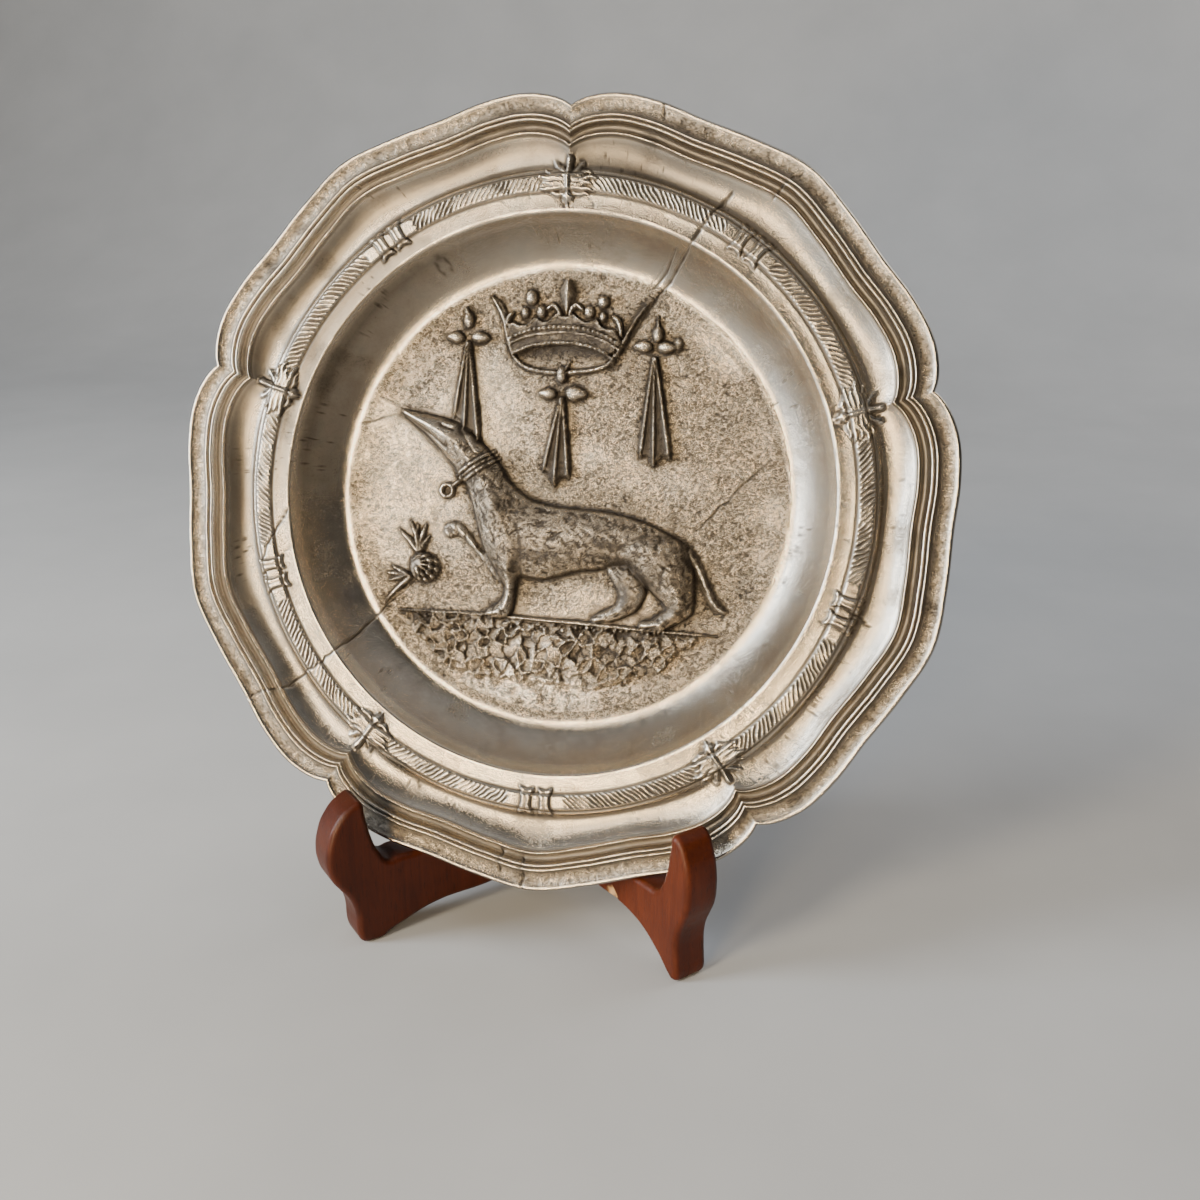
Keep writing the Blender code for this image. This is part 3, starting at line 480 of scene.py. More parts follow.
def carve_sprig(relief):
    curl = (-41.9, -23.6)
    at, x, y = relief.near([curl], 8.0)
    u, v = x - curl[0], y - curl[1]
    far = np.hypot(u, v * 1.05)
    depth = 4.7 - far
    fan = np.arctan2(v - 0.9, u + 2.6)
    reach = np.hypot(u + 2.6, v - 0.9)
    rib = (0.5 + 0.5 * np.cos(15 * fan + 0.9 * reach)) * smoothstep(1.6, 3.4, reach)
    rib = rib * smoothstep(2.2, 0.9, np.abs(fan))
    form = np.sqrt(np.clip(1 - (np.maximum(far - 1.0, 0.0) / 3.7) ** 2, 0, 1)) * (1 - 0.7 * rib)
    relief.halo(at, depth, 1.0, 0.9)
    relief.lay(at, depth, 2.3 * form + 0.2, 0.1)
    relief.darken(at, (0.25 + 0.75 * rib ** 2) * (depth > 0.0))
    relief.stroke(((-46.2, -21.4, 0.5), (-44.0, -19.6, 0.7), (-40.9, -20.3, 0.75), (-39.6, -23.0, 0.75),
                   (-40.9, -25.4, 0.7), (-43.2, -25.4, 0.6), (-43.9, -23.6, 0.45)), 1.0, over=True)
    for k, tip in enumerate(((-50.6, -12.2), (-47.2, -9.4), (-44.8, -10.4), (-42.0, -9.8), (-40.9, -13.6))):
        x0, y0 = -44.6 + 0.3 * k, -18.6
        middle = (0.5 * (x0 + tip[0]) + (0.8 if k < 2 else -0.6), 0.5 * (y0 + tip[1]) - 0.4, 1.0)
        relief.stroke(((x0, y0, 0.8), middle, (*tip, 0.15)), 1.9 - 0.15 * k, roof=True, blend=0.05)
    relief.stroke(((-46.4, -26.6, 0.8), (-51.1, -31.1, 0.6), (-55.4, -36.2, 0.15)), 1.2)
    for tip in ((-52.6, -23.6), (-54.2, -25.8), (-53.4, -28.2)):
        middle = (0.5 * (tip[0] - 46.8), 0.5 * (tip[1] - 26.2), 0.8)
        relief.stroke(((-46.8, -26.2, 0.7), middle, (*tip, 0.15)), 1.5, roof=True, blend=0.05)


def carve_ground(relief):
    """The stony ledge: seeded cells with their own tilt, some of their borders raised and some sunk."""
    line = smooth_line(GROUND, 3, closed=True)
    at, x, y = relief.near(line, 2.0)
    depth = depth_inside(x, y, line) + 5.0 * (layered_noise(x, y, 5.0, 71) - 0.5)
    rng = np.random.default_rng(23)
    seeds = np.array([(-50.0 + 4.2 * k + 2.1 * (row % 2) + rng.normal(0, 1.2), -38.2 - 3.1 * row + rng.normal(0, 0.9))
                      for row in range(7) for k in range(24)])
    lean_x, lean_y = rng.normal(0, 0.22, len(seeds)), rng.normal(0, 0.22, len(seeds))
    lift = rng.uniform(0.0, 0.8, len(seeds))
    walls = rng.uniform(0.0, 1.0, len(seeds))
    wx = x + 2.4 * (layered_noise(x, y, 2.6, 5) - 0.5)
    wy = y + 2.4 * (layered_noise(x, y, 2.6, 9) - 0.5)
    gaps = np.hypot((wx[:, None] - seeds[:, 0]) * 1.05, (wy[:, None] - seeds[:, 1]) * 0.95)
    first, second = np.argpartition(gaps, 1, axis=1)[:, :2].T
    rows = np.arange(len(gaps))
    swapped = gaps[rows, first] > gaps[rows, second]
    first, second = np.where(swapped, second, first), np.where(swapped, first, second)
    edge = gaps[rows, second] - gaps[rows, first]
    facet = 0.25 + lift[first] + lean_x[first] * (x - seeds[first, 0]) + lean_y[first] * (y - seeds[first, 1])
    wall = np.where(walls[first] + walls[second] > 0.78, 1.0, 0.1)
    ridge = wall * bell(edge, 0.0, 0.55)
    cleft = (1 - wall) * bell(edge, 0.0, 0.45)
    height = np.clip(facet, 0.05, 1.3) * (1 - ridge) + 1.7 * ridge - 0.35 * cleft
    fade = smoothstep(0.0, 1.0, depth)
    relief.height[at] += np.maximum(height, 0.0) * fade * (1 - relief.figure[at])
    hollow = np.clip(0.9 - height, 0, 1) * (1 - ridge) * fade
    # Hollows get darker towards the top of the ground, next to the ledge.
    under = 0.45 * smoothstep(-47.0, -39.5, y)
    relief.darken(at, (0.70 + under) * hollow + 0.7 * cleft * fade)
    relief.stroke(with_radius(LEDGE, 0.2, 0.6, 0.15), 1.5, halo=0.5, dark=0.65)
    for k in range(46):
        px, py = rng.uniform(-46.0, 44.0), -38.3 - abs(rng.normal(0, 0.8))
        relief.bead(px, py, rng.uniform(0.4, 0.9), rng.uniform(0.4, 0.7), rng.uniform(0.9, 1.5))


def wander(points, seed, jitter=0.35, step=1.6):
    """A jagged line through the listed points."""
    rng = np.random.default_rng(seed)
    line = []
    for a, b in zip(points, points[1:]):
        count = max(1, int(math.dist(a, b) / step))
        line += [tuple(p + (q - p) * k / count + rng.normal(0, jitter) for p, q in zip(a, b)) for k in range(count)]
    return line + [points[-1]]


def crack(relief, depth=0.26, width=0.25):
    """The cracks as broken scored lines, with short breaks beside them."""
    for k, points in enumerate(CRACKS):
        line = wander(points, 100 + k, 0.2, 2.6)
        rng = np.random.default_rng(150 + k)
        for a, b in zip(line, line[1:]):
            strength = rng.uniform(0.55, 1.0)
            relief.cut((a, b), depth * strength, width * (1.3 if k == 0 else 1.0), dark=strength)
            if rng.uniform() < 0.45:
                dx, dy = rng.normal(0.0, 0.9, 2)
                relief.cut(((a[0] + dx, a[1] + dy), (b[0] + dx, b[1] + dy)), 0.1, 0.18, dark=0.5)


def field_grain(x, y, ground):
    """Pebbled skin and wrinkles of the field: height, darkness and roughness."""
    u, v = x * 0.94 + y * 0.34, y * 0.94 - x * 0.34
    pebbled = layered_noise(u * 0.75, v * 1.15, 1.05, 301, 2) - 0.5
    broad = layered_noise(x, y, 9.0, 311, 2) - 0.5
    coarse = smoothstep(0.36, 0.6, layered_noise(x + 12.0, y, 21.0, 321, 2) + 0.0016 * (x + 8.0))
    rough = (0.4 + 0.6 * coarse) * ground
    folds = layered_noise(u * 0.7, v * 1.2, 1.5, 341, 2)
    folds = 1 - smoothstep(0.0, 0.07, np.abs(folds - 0.5))
    folds = folds * smoothstep(0.32, 0.52, layered_noise(x, y, 3.0, 345, 2))
    clouds = layered_noise(x, y, 6.0, 351, 3)
    height = 0.28 * pebbled * rough + 0.35 * broad * ground - 0.19 * folds * rough
    return height, 0.58 * folds * rough, 0.16 * smoothstep(0.5, 0.75, clouds) * ground, rough


def field_surface(x, y):
    """Levels and looks of the sunk field inside the well's wall."""
    relief = Relief(x, y)
    for carve in (carve_spots, carve_crown, carve_ermine, carve_sprig, carve_ground, crack):
        carve(relief)
    skin, wrinkles, veil, rough = field_grain(x, y, 1 - 0.45 * relief.figure)
    radius = np.hypot(x, y)
    rise = FIELD_EDGE_RISE * smoothstep(FIELD_RADIUS - 4.5, FIELD_RADIUS + 0.6, radius) / smoothstep(-4.5, 0.6, 0.0)
    edge = smoothstep(FIELD_RADIUS - 0.1, FIELD_RADIUS - 1.2, radius)
    mottled = smoothstep(0.35, 0.68, layered_noise(x, y, 2.3, 361, 3))
    # Figures are darker all over, partly from patina and partly as painted shade for the dimmer light they reflect.
    dark = np.maximum(relief.dark, wrinkles) + veil + (0.20 + 0.28 * mottled) * relief.figure
    return FIELD_LEVEL + relief.height + skin * edge + rise, np.clip(dark, 0, 1), rough, relief.figure


# The wall, the ribbon and the lobed rim, in rings round the plate

def from_cusp(degrees):
    """Degrees to the nearest cusp between two lobes."""
    within = (degrees - 90.0) % (2 * HALF_LOBE)
    return np.minimum(within, 2 * HALF_LOBE - within)


def rim_radius(cusp):
    return hermite(LOBE_OUTLINE, cusp) * BRIM * RIM_SHARE


def wall_level(radius):
    """The well's wall from the field up to the crisp brim edge."""
    share = radius / BRIM
    foot = 0.24 * smoothstep(0.794, 0.824, share) - 0.08 * smoothstep(0.828, 0.850, share)
    u = np.clip((share - 0.834) / (0.99 - 0.834), 0, 1)
    climb = (WALL_TOP_LEVEL - (FIELD_LEVEL + 0.48)) * (0.18 * u + 0.82 * u ** 1.65)
    lip = 0.75 * np.clip((share - 0.988) / 0.012, 0, 1) ** 0.6
    return FIELD_LEVEL + FIELD_EDGE_RISE + foot + climb + lip


def ribbon_level(radius):
    """The flat brim edge and the raised ribbon, between its two grooves."""
    share = radius / BRIM
    u = np.clip((share - 1.0) / 0.06, 0, 1)
    raised = 0.55 * window(1.062, 1.069, 1.115, 1.122, share)
    grooves = 0.35 * bell(radius, RIBBON_INNER_GROOVE * BRIM, 0.32)
    grooves = grooves + 0.3 * bell(radius, RIBBON_OUTER_GROOVE * BRIM, 0.32)
    return -2.35 + 0.25 * u - 0.22 * np.sin(math.pi * u) + raised - grooves


def scoop_level(share, cusp):
    """The hollow between the rim's mouldings (share 0) and the ribbon (share 1)."""
    fullness = np.minimum(1.0, (cusp / 13.0) ** 0.62)
    floor = SCOOP_RIDGE_LEVEL + (SCOOP_LEVEL - SCOOP_RIDGE_LEVEL) * fullness
    outward = 1 - np.clip(share, 0, 1)
    cove = np.clip((outward - 0.36) / 0.64, 0, 1) ** 1.9
    level = RIBBON_EDGE_LEVEL + (floor - RIBBON_EDGE_LEVEL) * smoothstep(0.0, 0.2, outward)
    return level + (SCOOP_OUTER_LEVEL - floor) * cove


MOULDING = ((12.2, -1.35), (11.95, -1.2), (11.75, -0.95), (11.6, -0.5), (11.42, -0.3), (11.24, -0.42),
            (11.1, -1.0), (10.9, -1.75), (10.5, -2.15), (9.9, -2.3), (9.3, -2.2), (8.8, -1.85), (8.5, -1.2),
            (8.3, -0.35), (8.1, 0.12), (7.85, 0.36), (7.6, 0.36), (7.4, 0.12), (7.2, -0.35), (7.05, -0.4),
            (6.88, -0.05), (6.65, 0.42), (6.4, 0.52), (6.15, 0.4), (5.95, -0.1), (5.75, -0.5), (5.4, -0.62),
            (4.9, -0.85), (4.3, -1.05), (3.7, -1.15), (3.1, -1.1), (2.5, -0.95), (2.0, -0.7), (1.6, -0.38),
            (1.25, -0.1), (0.9, 0.02), (0.55, -0.02), (0.28, -0.22), (0.1, -0.55), (0.0, -0.95))


def ring_tables():
    """Radii and bare levels for every ring and column, and how many rings belong to the wall and ribbon."""
    degrees = np.arange(RING_COLUMNS) * 360.0 / RING_COLUMNS
    cusp = from_cusp(degrees)
    rim = rim_radius(cusp)
    fixed = np.concatenate([
        np.array([*np.linspace(0.790, 0.862, 13), *np.linspace(0.873, 0.975, 8), 0.985, 0.990, 0.994, 0.998,
                  1.001, 1.006, 1.02, 1.033]) * BRIM,
        np.arange(RIBBON_START, RIBBON_END, 0.40)])
    inner_radius = np.repeat(fixed[:, None], RING_COLUMNS, axis=1)
    inner_level = np.where(inner_radius < BRIM * 0.9995, wall_level(inner_radius), ribbon_level(inner_radius))
    shares = np.array([0.04, 0.09, 0.15, 0.22, 0.32, 0.44, 0.56, 0.67, 0.78, 0.88, 0.96])[:, None]
    outer = rim - MOULDING[0][0]
    scoop_radius = fixed[-1] + (outer - fixed[-1]) * shares
    share = np.clip((outer - scoop_radius) / (outer - SCOOP_START), 0, 1)
    offsets, levels = np.array(MOULDING).T[:, :, None]
    radius = np.vstack([inner_radius, scoop_radius, rim - offsets])
    level = np.vstack([inner_level, scoop_level(share, cusp), np.repeat(levels, RING_COLUMNS, axis=1)])
    return degrees, cusp, rim, radius, level, len(fixed)


CUSP_FOLDS = ((86.3, 86.6, 6.4), (87.7, 87.4, 8.0), (89.1, 89.3, 7.2), (90.5, 91.0, 8.4), (91.9, 92.6, 6.6),
              (93.0, 94.6, 4.4))
CREST_BLOCK = ((0.6, 85.6), (2.8, 86.1), (5.2, 85.4), (4.5, 87.6), (4.3, 89.6), (4.6, 91.6), (5.3, 93.8),
               (2.9, 93.1), (0.7, 93.7), (1.3, 91.4), (1.5, 89.6), (1.2, 87.6))


def cusp_clasp(relief):
    """A bar across the ribbon with a bead, and folds of cloth that fan out on both sides of it."""
    for side in (-1, 1):
        for r0, r1, reach in CUSP_FOLDS:
            sway = 0.35 * math.sin(5.0 * r0 + side)
            relief.stroke(((side * 0.7, 0.35 * 89.6 + 0.65 * r0, 0.6), (side * 0.45 * reach, r0 + sway, 0.85),
                           (side * 0.75 * reach, r1 - sway, 0.65), (side * reach, r1 + 0.3 * side, 0.12)),
                          0.8, blend=0.1, halo=0.3)
    relief.stroke(((0.1, 84.4, 0.85), (0.0, 88.0, 0.75), (0.15, 92.0, 0.8), (-0.1, 96.0, 1.0)), 1.45, halo=0.5)
    relief.bead(0.0, 85.5, 1.8, 1.3, 1.5)


def crest_clasp(relief):
    """Two blocks with hollow sides, where the ribbon is bound in the middle of a lobe."""
    for side in (-1, 1):
        relief.outline([(side * s, r) for s, r in CREST_BLOCK], 0.85, 0.55, halo=0.45, dark=0.8)
        relief.cut(((side * 2.9, 87.2), (side * 2.7, 89.6), (side * 3.0, 92.0)), 0.22, 0.22, dark=0.6)


def clasp_relief(radius, degrees):
    """The clasps on the ribbon, worked in millimetres along it and across it."""
    height, dark = np.zeros((2, radius.size))
    across = radius.ravel()
    lobe = np.floor((degrees - 90.0 + HALF_LOBE) / (2 * HALF_LOBE)).astype(int) % LOBES
    uneven = 0.35 * np.sin(2.3 * lobe)
    for work, start, shift, half, top, share in ((cusp_clasp, HALF_LOBE - 90.0, uneven, 10.5, 97.5, 0.55),
                                                 (crest_clasp, -90.0, 0.0, 11.0, 96.5, 1.0)):
        along = math.radians(1.0) * RIBBON_MIDDLE * ((degrees + start) % (2 * HALF_LOBE) - HALF_LOBE)
        near = np.nonzero((np.abs(along).ravel() < half) & (across > 83.0) & (across < top))[0]
        relief = Relief((along + shift).ravel()[near], across[near])
        work(relief)
        height[near] += relief.height
        dark[near] = np.maximum(dark[near], share * relief.dark)
    return height.reshape(radius.shape), dark.reshape(radius.shape)


NICKS = (((-62.3, -47.2), (-79.0, -61.5)), ((-79.0, -61.5), (-93.0, -66.0)), ((26.0, 108.0), (29.0, 113.5)),
         ((-2.6, -106.5), (-2.1, -115.6)), ((-9.8, -104.4), (-9.3, -111.0)), ((84.0, -26.0), (92.0, -31.0)),
         ((-82.0, -8.0), (-89.5, -24.0)), ((58.0, 86.0), (66.0, 92.0)))
RING_MARK = (-38.0, 66.4)
# Dirt, and polish that is partly painted highlight, along lines: millimetres in from the rim or share of the brim,
# then width and strength.
RIM_DIRT = ((9.9, 0.8, 0.66), (12.1, 0.3, 0.45), (7.12, 0.22, 0.7), (5.55, 0.35, 0.6))
RING_DIRT = ((RIBBON_INNER_GROOVE, 0.4, 0.75), (RIBBON_OUTER_GROOVE, 0.4, 0.65), (0.9975, 0.25, 0.35))
RIM_POLISH_AND_HIGHLIGHT = ((11.42, 0.22, 0.75), (7.75, 0.3, 0.5), (6.4, 0.3, 0.65), (0.85, 0.3, 0.55))
RING_POLISH_AND_HIGHLIGHT = ((1.0, 0.35, 0.7), (0.829, 0.8, 0.6), (1.0675, 0.3, 0.3), (1.1165, 0.3, 0.3))


def ring_details(radius, level, degrees, cusp, rim):
    """Ribbon strokes, clasps, wear and casting marks over the rings, with painted shade on the upper left and painted
    highlight along the polished lines.
    """
    turn = np.radians(degrees)
    x, y = radius * np.cos(turn), radius * np.sin(turn)
    degrees, crest = np.broadcast_to(degrees, radius.shape), np.broadcast_to(HALF_LOBE - cusp, radius.shape)
    inside = rim - radius
    share = radius / BRIM
    phase = (crest - 0.52 * (radius - RIBBON_MIDDLE)) / 1.02 + 1.1 * layered_noise(x, y, 6.0, 401, 2)
    phase = phase + 0.45 * value_noise(x, y, 1.9, 405)
    phase = np.abs(phase - np.floor(phase) - 0.5)
    worn = 0.35 + 0.75 * smoothstep(0.3, 0.6, layered_noise(x, y, 5.0, 411, 2))
    scored = bell(phase, 0.0, 0.21) * window(1.064, 1.070, 1.113, 1.120, share) * window(5.2, 5.9, 30.4, 31.8, crest)
    scored = scored * worn
    clasp, clasp_dark = clasp_relief(radius, degrees)
    marks = Relief(x.ravel(), y.ravel())
    crack(marks, 0.45, 0.34)
    for k, ends in enumerate(NICKS):
        marks.cut(wander(ends, 200 + k, 0.4), 0.34, 0.30, dark=1.0, steps=1)
    band = window(1.4, 2.0, 5.2, 5.7, inside)
    scaly = layered_noise(x, y, 1.3, 421, 2) - 0.5
    broad = layered_noise(x, y, 12.0, 431, 2) - 0.5
    hammer = layered_noise(x, y, 3.2, 441, 2) - 0.5
    pits = smoothstep(0.72, 0.80, layered_noise(x, y, 1.2, 451, 3))
    pits = pits * smoothstep(0.5, 0.65, layered_noise(x, y, 18.0, 461, 2))
    foot = 1 - smoothstep(0.812 * BRIM, 0.832 * BRIM, radius + 1.2 * broad)
    skin, wrinkles, clouds, grain = field_grain(x, y, np.ones_like(x))
    uneven = (1 - 0.6 * window(0.985, 1.0, 1.055, 1.065, share)) * smoothstep(0.0, 3.0, radius - FIELD_RADIUS)
    uneven = uneven * (1 - 0.75 * smoothstep(1.125, 1.14, share) * smoothstep(11.5, 13.0, inside))
    height = (level + clasp - 0.6 * scored + marks.height.reshape(x.shape) + 0.30 * scaly * band
              + (0.22 * broad + 0.10 * hammer) * uneven - 0.10 * pits
              + skin * foot * smoothstep(FIELD_RADIUS + 0.1, FIELD_RADIUS + 1.2, radius))
    flow = layered_noise(x, y, 8.0, 471, 3)
    shades = [0.80 * scored, 0.80 * clasp_dark, marks.dark.reshape(x.shape), 0.5 * pits, (wrinkles + clouds) * foot,
              0.45 * bell(np.hypot(x - RING_MARK[0], y - RING_MARK[1]), 1.9, 0.4),
              band * (0.10 + 0.18 * smoothstep(0.35, 0.75, flow) + 0.20 * smoothstep(0.1, -0.35, scaly))]
    shades += [strength * bell(inside, offset, width) for offset, width, strength in RIM_DIRT]
    shades += [strength * bell(radius, line * BRIM, width) for line, width, strength in RING_DIRT]
    dark = np.maximum.reduce(shades) + 0.14 * smoothstep(0.5, 0.8, flow)
    # Painted shade on the upper-left side of the plate and in the top scoop: strength, middle and reach in degrees,
    # how sharp its ends are, and where.
    for strength, middle, reach, power, where in (
            (0.46, 150.0, 36.0, 4, window(0.93, 0.985, 1.055, 1.07, share)),
            (0.44, 82.0, 18.0, 2, smoothstep(1.115, 1.14, share) * smoothstep(9.0, 12.0, inside)),
            (0.44, 155.0, 50.0, 4, window(11.6, 12.8, 15.0, 19.5, inside)),
            (0.34, 150.0, 34.0, 4, window(0.84, 0.88, 0.975, 0.99, share))):
        dark = dark + strength * np.exp(-((degrees - middle) / reach) ** power) * where
    dark = np.clip(dark, 0, 1)
    # Polish along the mouldings, the brim and ribbon edges and the field's foot: partly worn bright, partly painted
    # highlight.
    edge_polish_and_highlight = np.zeros_like(radius)
    for offset, width, strength in RIM_POLISH_AND_HIGHLIGHT:
        line_polish_and_highlight = bell(inside, offset, width)
        dark = dark * (1 - 0.8 * line_polish_and_highlight)
        edge_polish_and_highlight = np.maximum(edge_polish_and_highlight, strength * line_polish_and_highlight * (0.45 + 0.55 * smoothstep(0.35, 0.6, flow)))
    for line, width, strength in RING_POLISH_AND_HIGHLIGHT:
        line_polish_and_highlight = bell(radius, line * BRIM, width)
        edge_polish_and_highlight = np.maximum(edge_polish_and_highlight, strength * line_polish_and_highlight * (0.35 + 0.65 * smoothstep(0.35, 0.6, flow)))
    rough = np.clip(0.06 + 0.42 * band + 0.10 * smoothstep(0.55, 0.75, flow) + grain * foot, 0, 1)
    return height, dark, rough, edge_polish_and_highlight


# Meshes

def world_points(x, y, level):
    """Plate millimetres to metres in the row frame."""
    s, c = math.sin(LEAN), math.cos(LEAN)
    return np.stack([CENTRE[0] + x, CENTRE[1] + y * s - level * c, CENTRE[2] + y * c + level * s], -1) * MM


def grid_normals(points, closed):
    """Smooth normals of a grid of points, facing out of the plate."""
    across = np.roll(points, -1, 1) - np.roll(points, 1, 1) if closed else np.gradient(points, axis=1)
    normal = np.cross(np.gradient(points, axis=0), across)
    flip = np.sign((normal * (0.0, -math.cos(LEAN), math.sin(LEAN))).sum(-1).mean())
    return flip * normal / (np.linalg.norm(normal, axis=-1, keepdims=True) + 1e-12)


def link_object(name, data):
    item = bpy.data.objects.new(name, data)
    bpy.context.scene.collection.objects.link(item)
    return item


def make_piece(name, front, behind, faces, normals, looks, back_dark, material):
    """A mesh of a front grid with given normals and looks, and of the points behind it.

    front and behind are (x, y, level) arrays in the plate's millimetres.
    """
    plan = np.vstack([np.stack([values.ravel() for values in part], -1) for part in (front, behind)])
    points = world_points(*plan.T)
    mesh = bpy.data.meshes.new(name)
    mesh.from_pydata(points.tolist(), [], faces)
    mesh.update()
    mesh.shade_smooth()
    computed = np.zeros(points.size, np.float32)
    mesh.vertex_normals.foreach_get("vector", computed)
    computed = computed.reshape(-1, 3)
    count = front[0].size
    computed[:count] = normals.reshape(-1, 3)
    mesh.normals_split_custom_set_from_vertices(computed.tolist())
    for key, back in (("dark", back_dark), ("rough", BACK_ROUGH), ("polish_and_highlight", 0.0)):
        values = np.full(len(points), back, np.float32)
        values[:count] = looks[key].ravel()
        mesh.attributes.new(key, "FLOAT", "POINT").data.foreach_set("value", values)
    layer = mesh.attributes.new("plan", "FLOAT_VECTOR", "POINT")
    layer.data.foreach_set("vector", plan.astype(np.float32).ravel())
    mesh.materials.append(material)
    return link_object(name, mesh)


def cavity(level, span, closed=True):
    """How far each grid point lies below the mean of its surroundings."""
    mean = level
    for axis, mode in ((0, "edge"), (1, "wrap" if closed else "edge")):
        margin = [(span, span) if k == axis else (0, 0) for k in (0, 1)]
        wider, places = np.pad(mean, margin, mode=mode), np.arange(mean.shape[axis])
        mean = sum(wider.take(places + k, axis) for k in range(2 * span + 1)) / (2 * span + 1)
    return mean - level


def build_field(material):
    """The sunk field: a square grid bent onto a disc, closed by a plain wall and back."""
    n = FIELD_CELLS + 1
    side = np.linspace(-1.0, 1.0, n)
    u, v = np.meshgrid(side, side, indexing="ij")
    x = FIELD_RADIUS * u * np.sqrt(1 - 0.5 * v * v)
    y = FIELD_RADIUS * v * np.sqrt(1 - 0.5 * u * u)
    level, dark, rough, figure = [values.reshape(n, n) for values in field_surface(x.ravel(), y.ravel())]
    hollow = cavity(level, 3, closed=False)
    dark = np.clip(dark + 0.7 * np.clip(hollow - 0.05, 0, 0.6), 0, 1)
    # Painted highlight, partly real worn polish, in the listed patches; it also thins the dark there.
    rubbed_and_highlight = sum(strength * patch(x - px, y - py, wide, high) for px, py, wide, high, strength in RUBBED_POLISH_AND_HIGHLIGHT)
    raised = np.clip(-1.5 * hollow - 0.06, 0, 1) * (0.35 + 0.65 * figure)
    polish_and_highlight = np.clip(raised + rubbed_and_highlight * smoothstep(0.25, 0.65, layered_noise(x, y, 3.0, 371, 3)), 0, 1)
    looks = {"dark": dark * (1 - 0.3 * np.clip(rubbed_and_highlight, 0, 1)), "rough": rough, "polish_and_highlight": polish_and_highlight}
    index = np.arange(n * n).reshape(n, n)
    rim = np.concatenate([index[0, :-1], index[:-1, -1], index[-1, :0:-1], index[:0:-1, 0]])
    level.ravel()[rim] = FIELD_LEVEL + FIELD_EDGE_RISE
    behind = x.ravel()[rim], y.ravel()[rim], np.full(len(rim), BACK_LEVEL)
    quads = np.stack([index[:-1, :-1], index[1:, :-1], index[1:, 1:], index[:-1, 1:]], -1).reshape(-1, 4)
    low = np.arange(len(rim)) + n * n
    wall = np.stack([rim, np.roll(rim, -1), np.roll(low, -1), low], -1)
    faces = quads.tolist() + wall.tolist() + [low.tolist()]
    normals = grid_normals(world_points(x, y, level), closed=False)
    return make_piece("plate_field_relief", (x, y, level), behind, faces, normals, looks, 0.3, material)


def ring_faces(rings):
    """Faces that join rings of points into a band closed both ways."""
    index = np.arange(rings * RING_COLUMNS).reshape(rings, RING_COLUMNS)
    after = np.roll(index, -1, axis=1)
    return np.stack([index, np.roll(index, -1, 0), np.roll(after, -1, 0), after], -1).reshape(-1, 4).tolist()


def build_rings(material):
    """The wall with its ribbon, and the lobed rim, each closed behind by a plain back."""
    degrees, cusp, rim, radius, level, split = ring_tables()
    height, dark, rough, edge_polish_and_highlight = ring_details(radius, level, degrees, cusp, rim)
    height[0] = FIELD_LEVEL + FIELD_EDGE_RISE
    hollow = cavity(height, 2) * (0.3 + 0.7 * smoothstep(0.86 * BRIM, 0.90 * BRIM, radius))
    looks = {"dark": np.clip(dark + 0.8 * np.clip(hollow - 0.06, 0, 0.5), 0, 1), "rough": rough,
             "polish_and_highlight": np.clip(np.maximum(-1.2 * hollow - 0.08, edge_polish_and_highlight), 0, 1)}
    turn = np.radians(degrees)
    x, y = radius * np.cos(turn), radius * np.sin(turn)
    normals = grid_normals(world_points(x, y, height), closed=True)
    outer = rim - 10.8
    fullness = np.minimum(1.0, (cusp / 15.0) ** 0.7)
    hollow_level = SCOOP_RIDGE_LEVEL + (SCOOP_LEVEL - SCOOP_RIDGE_LEVEL) * fullness - 2.2
    seam = (radius[split - 1], -5.6)
    inner_back = (seam, (1.030 * BRIM, -5.2), (0.970 * BRIM, -7.4), (0.900 * BRIM, BACK_LEVEL + 2.6),
                  (0.800 * BRIM, BACK_LEVEL), (FIELD_RADIUS, BACK_LEVEL))
    outer_back = ((rim - 0.5, -2.0), (rim - 8.5, -2.6), (outer + (1.135 * BRIM - outer) * 0.6, hollow_level), seam)
    pieces = []
    for name, part, back in (("plate_well_and_ribbon", slice(0, split), inner_back),
                             ("plate_lobed_rim", slice(split - 1, None), outer_back)):
        back_radius, back_level = [np.array([np.broadcast_to(ring[k], rim.shape) for ring in back]) for k in (0, 1)]
        behind = back_radius * np.cos(turn), back_radius * np.sin(turn), back_level
        pieces.append(make_piece(
            name, (x[part], y[part], height[part]), behind, ring_faces(len(x[part]) + len(back)), normals[part],
            {key: values[part] for key, values in looks.items()}, 0.25, material))
    return pieces


# The boards

BOARD_THICKNESS = 11.5
BOARD_ANGLE = math.radians(46.0)
FOOT_HALF_SPAN = 51.9
FOOT_FRONT = 40.9
STAND_OFFSET = -2.0
SLOT_GAP = 0.3
SLOT_LEVEL = 25.0
ROUNDING = 1.9
LEFT_FRONT = ((4.0, 0.0), (1.9, 0.5), (0.8, 2.6), (0.4, 6.0), (0.4, 9.5), (-0.2, 13.2), (-1.6, 16.8), (-3.7, 20.2),
              (-5.7, 23.4), (-6.9, 27.0), (-7.3, 31.0), (-6.3, 37.0), (-4.0, 42.0))
RIGHT_FRONT = ((3.3, 0.0), (1.6, 0.5), (0.9, 2.3), (1.0, 5.3), (1.3, 9.5), (1.3, 13.5), (0.5, 17.5), (-1.2, 21.5),
               (-2.8, 25.5), (-3.5, 31.0), (-3.1, 37.0), (-1.7, 42.0))
CHIP = (32.2, 13.2, -5.6)
CHIP_REACH = (3.0, 3.2, 1.4)


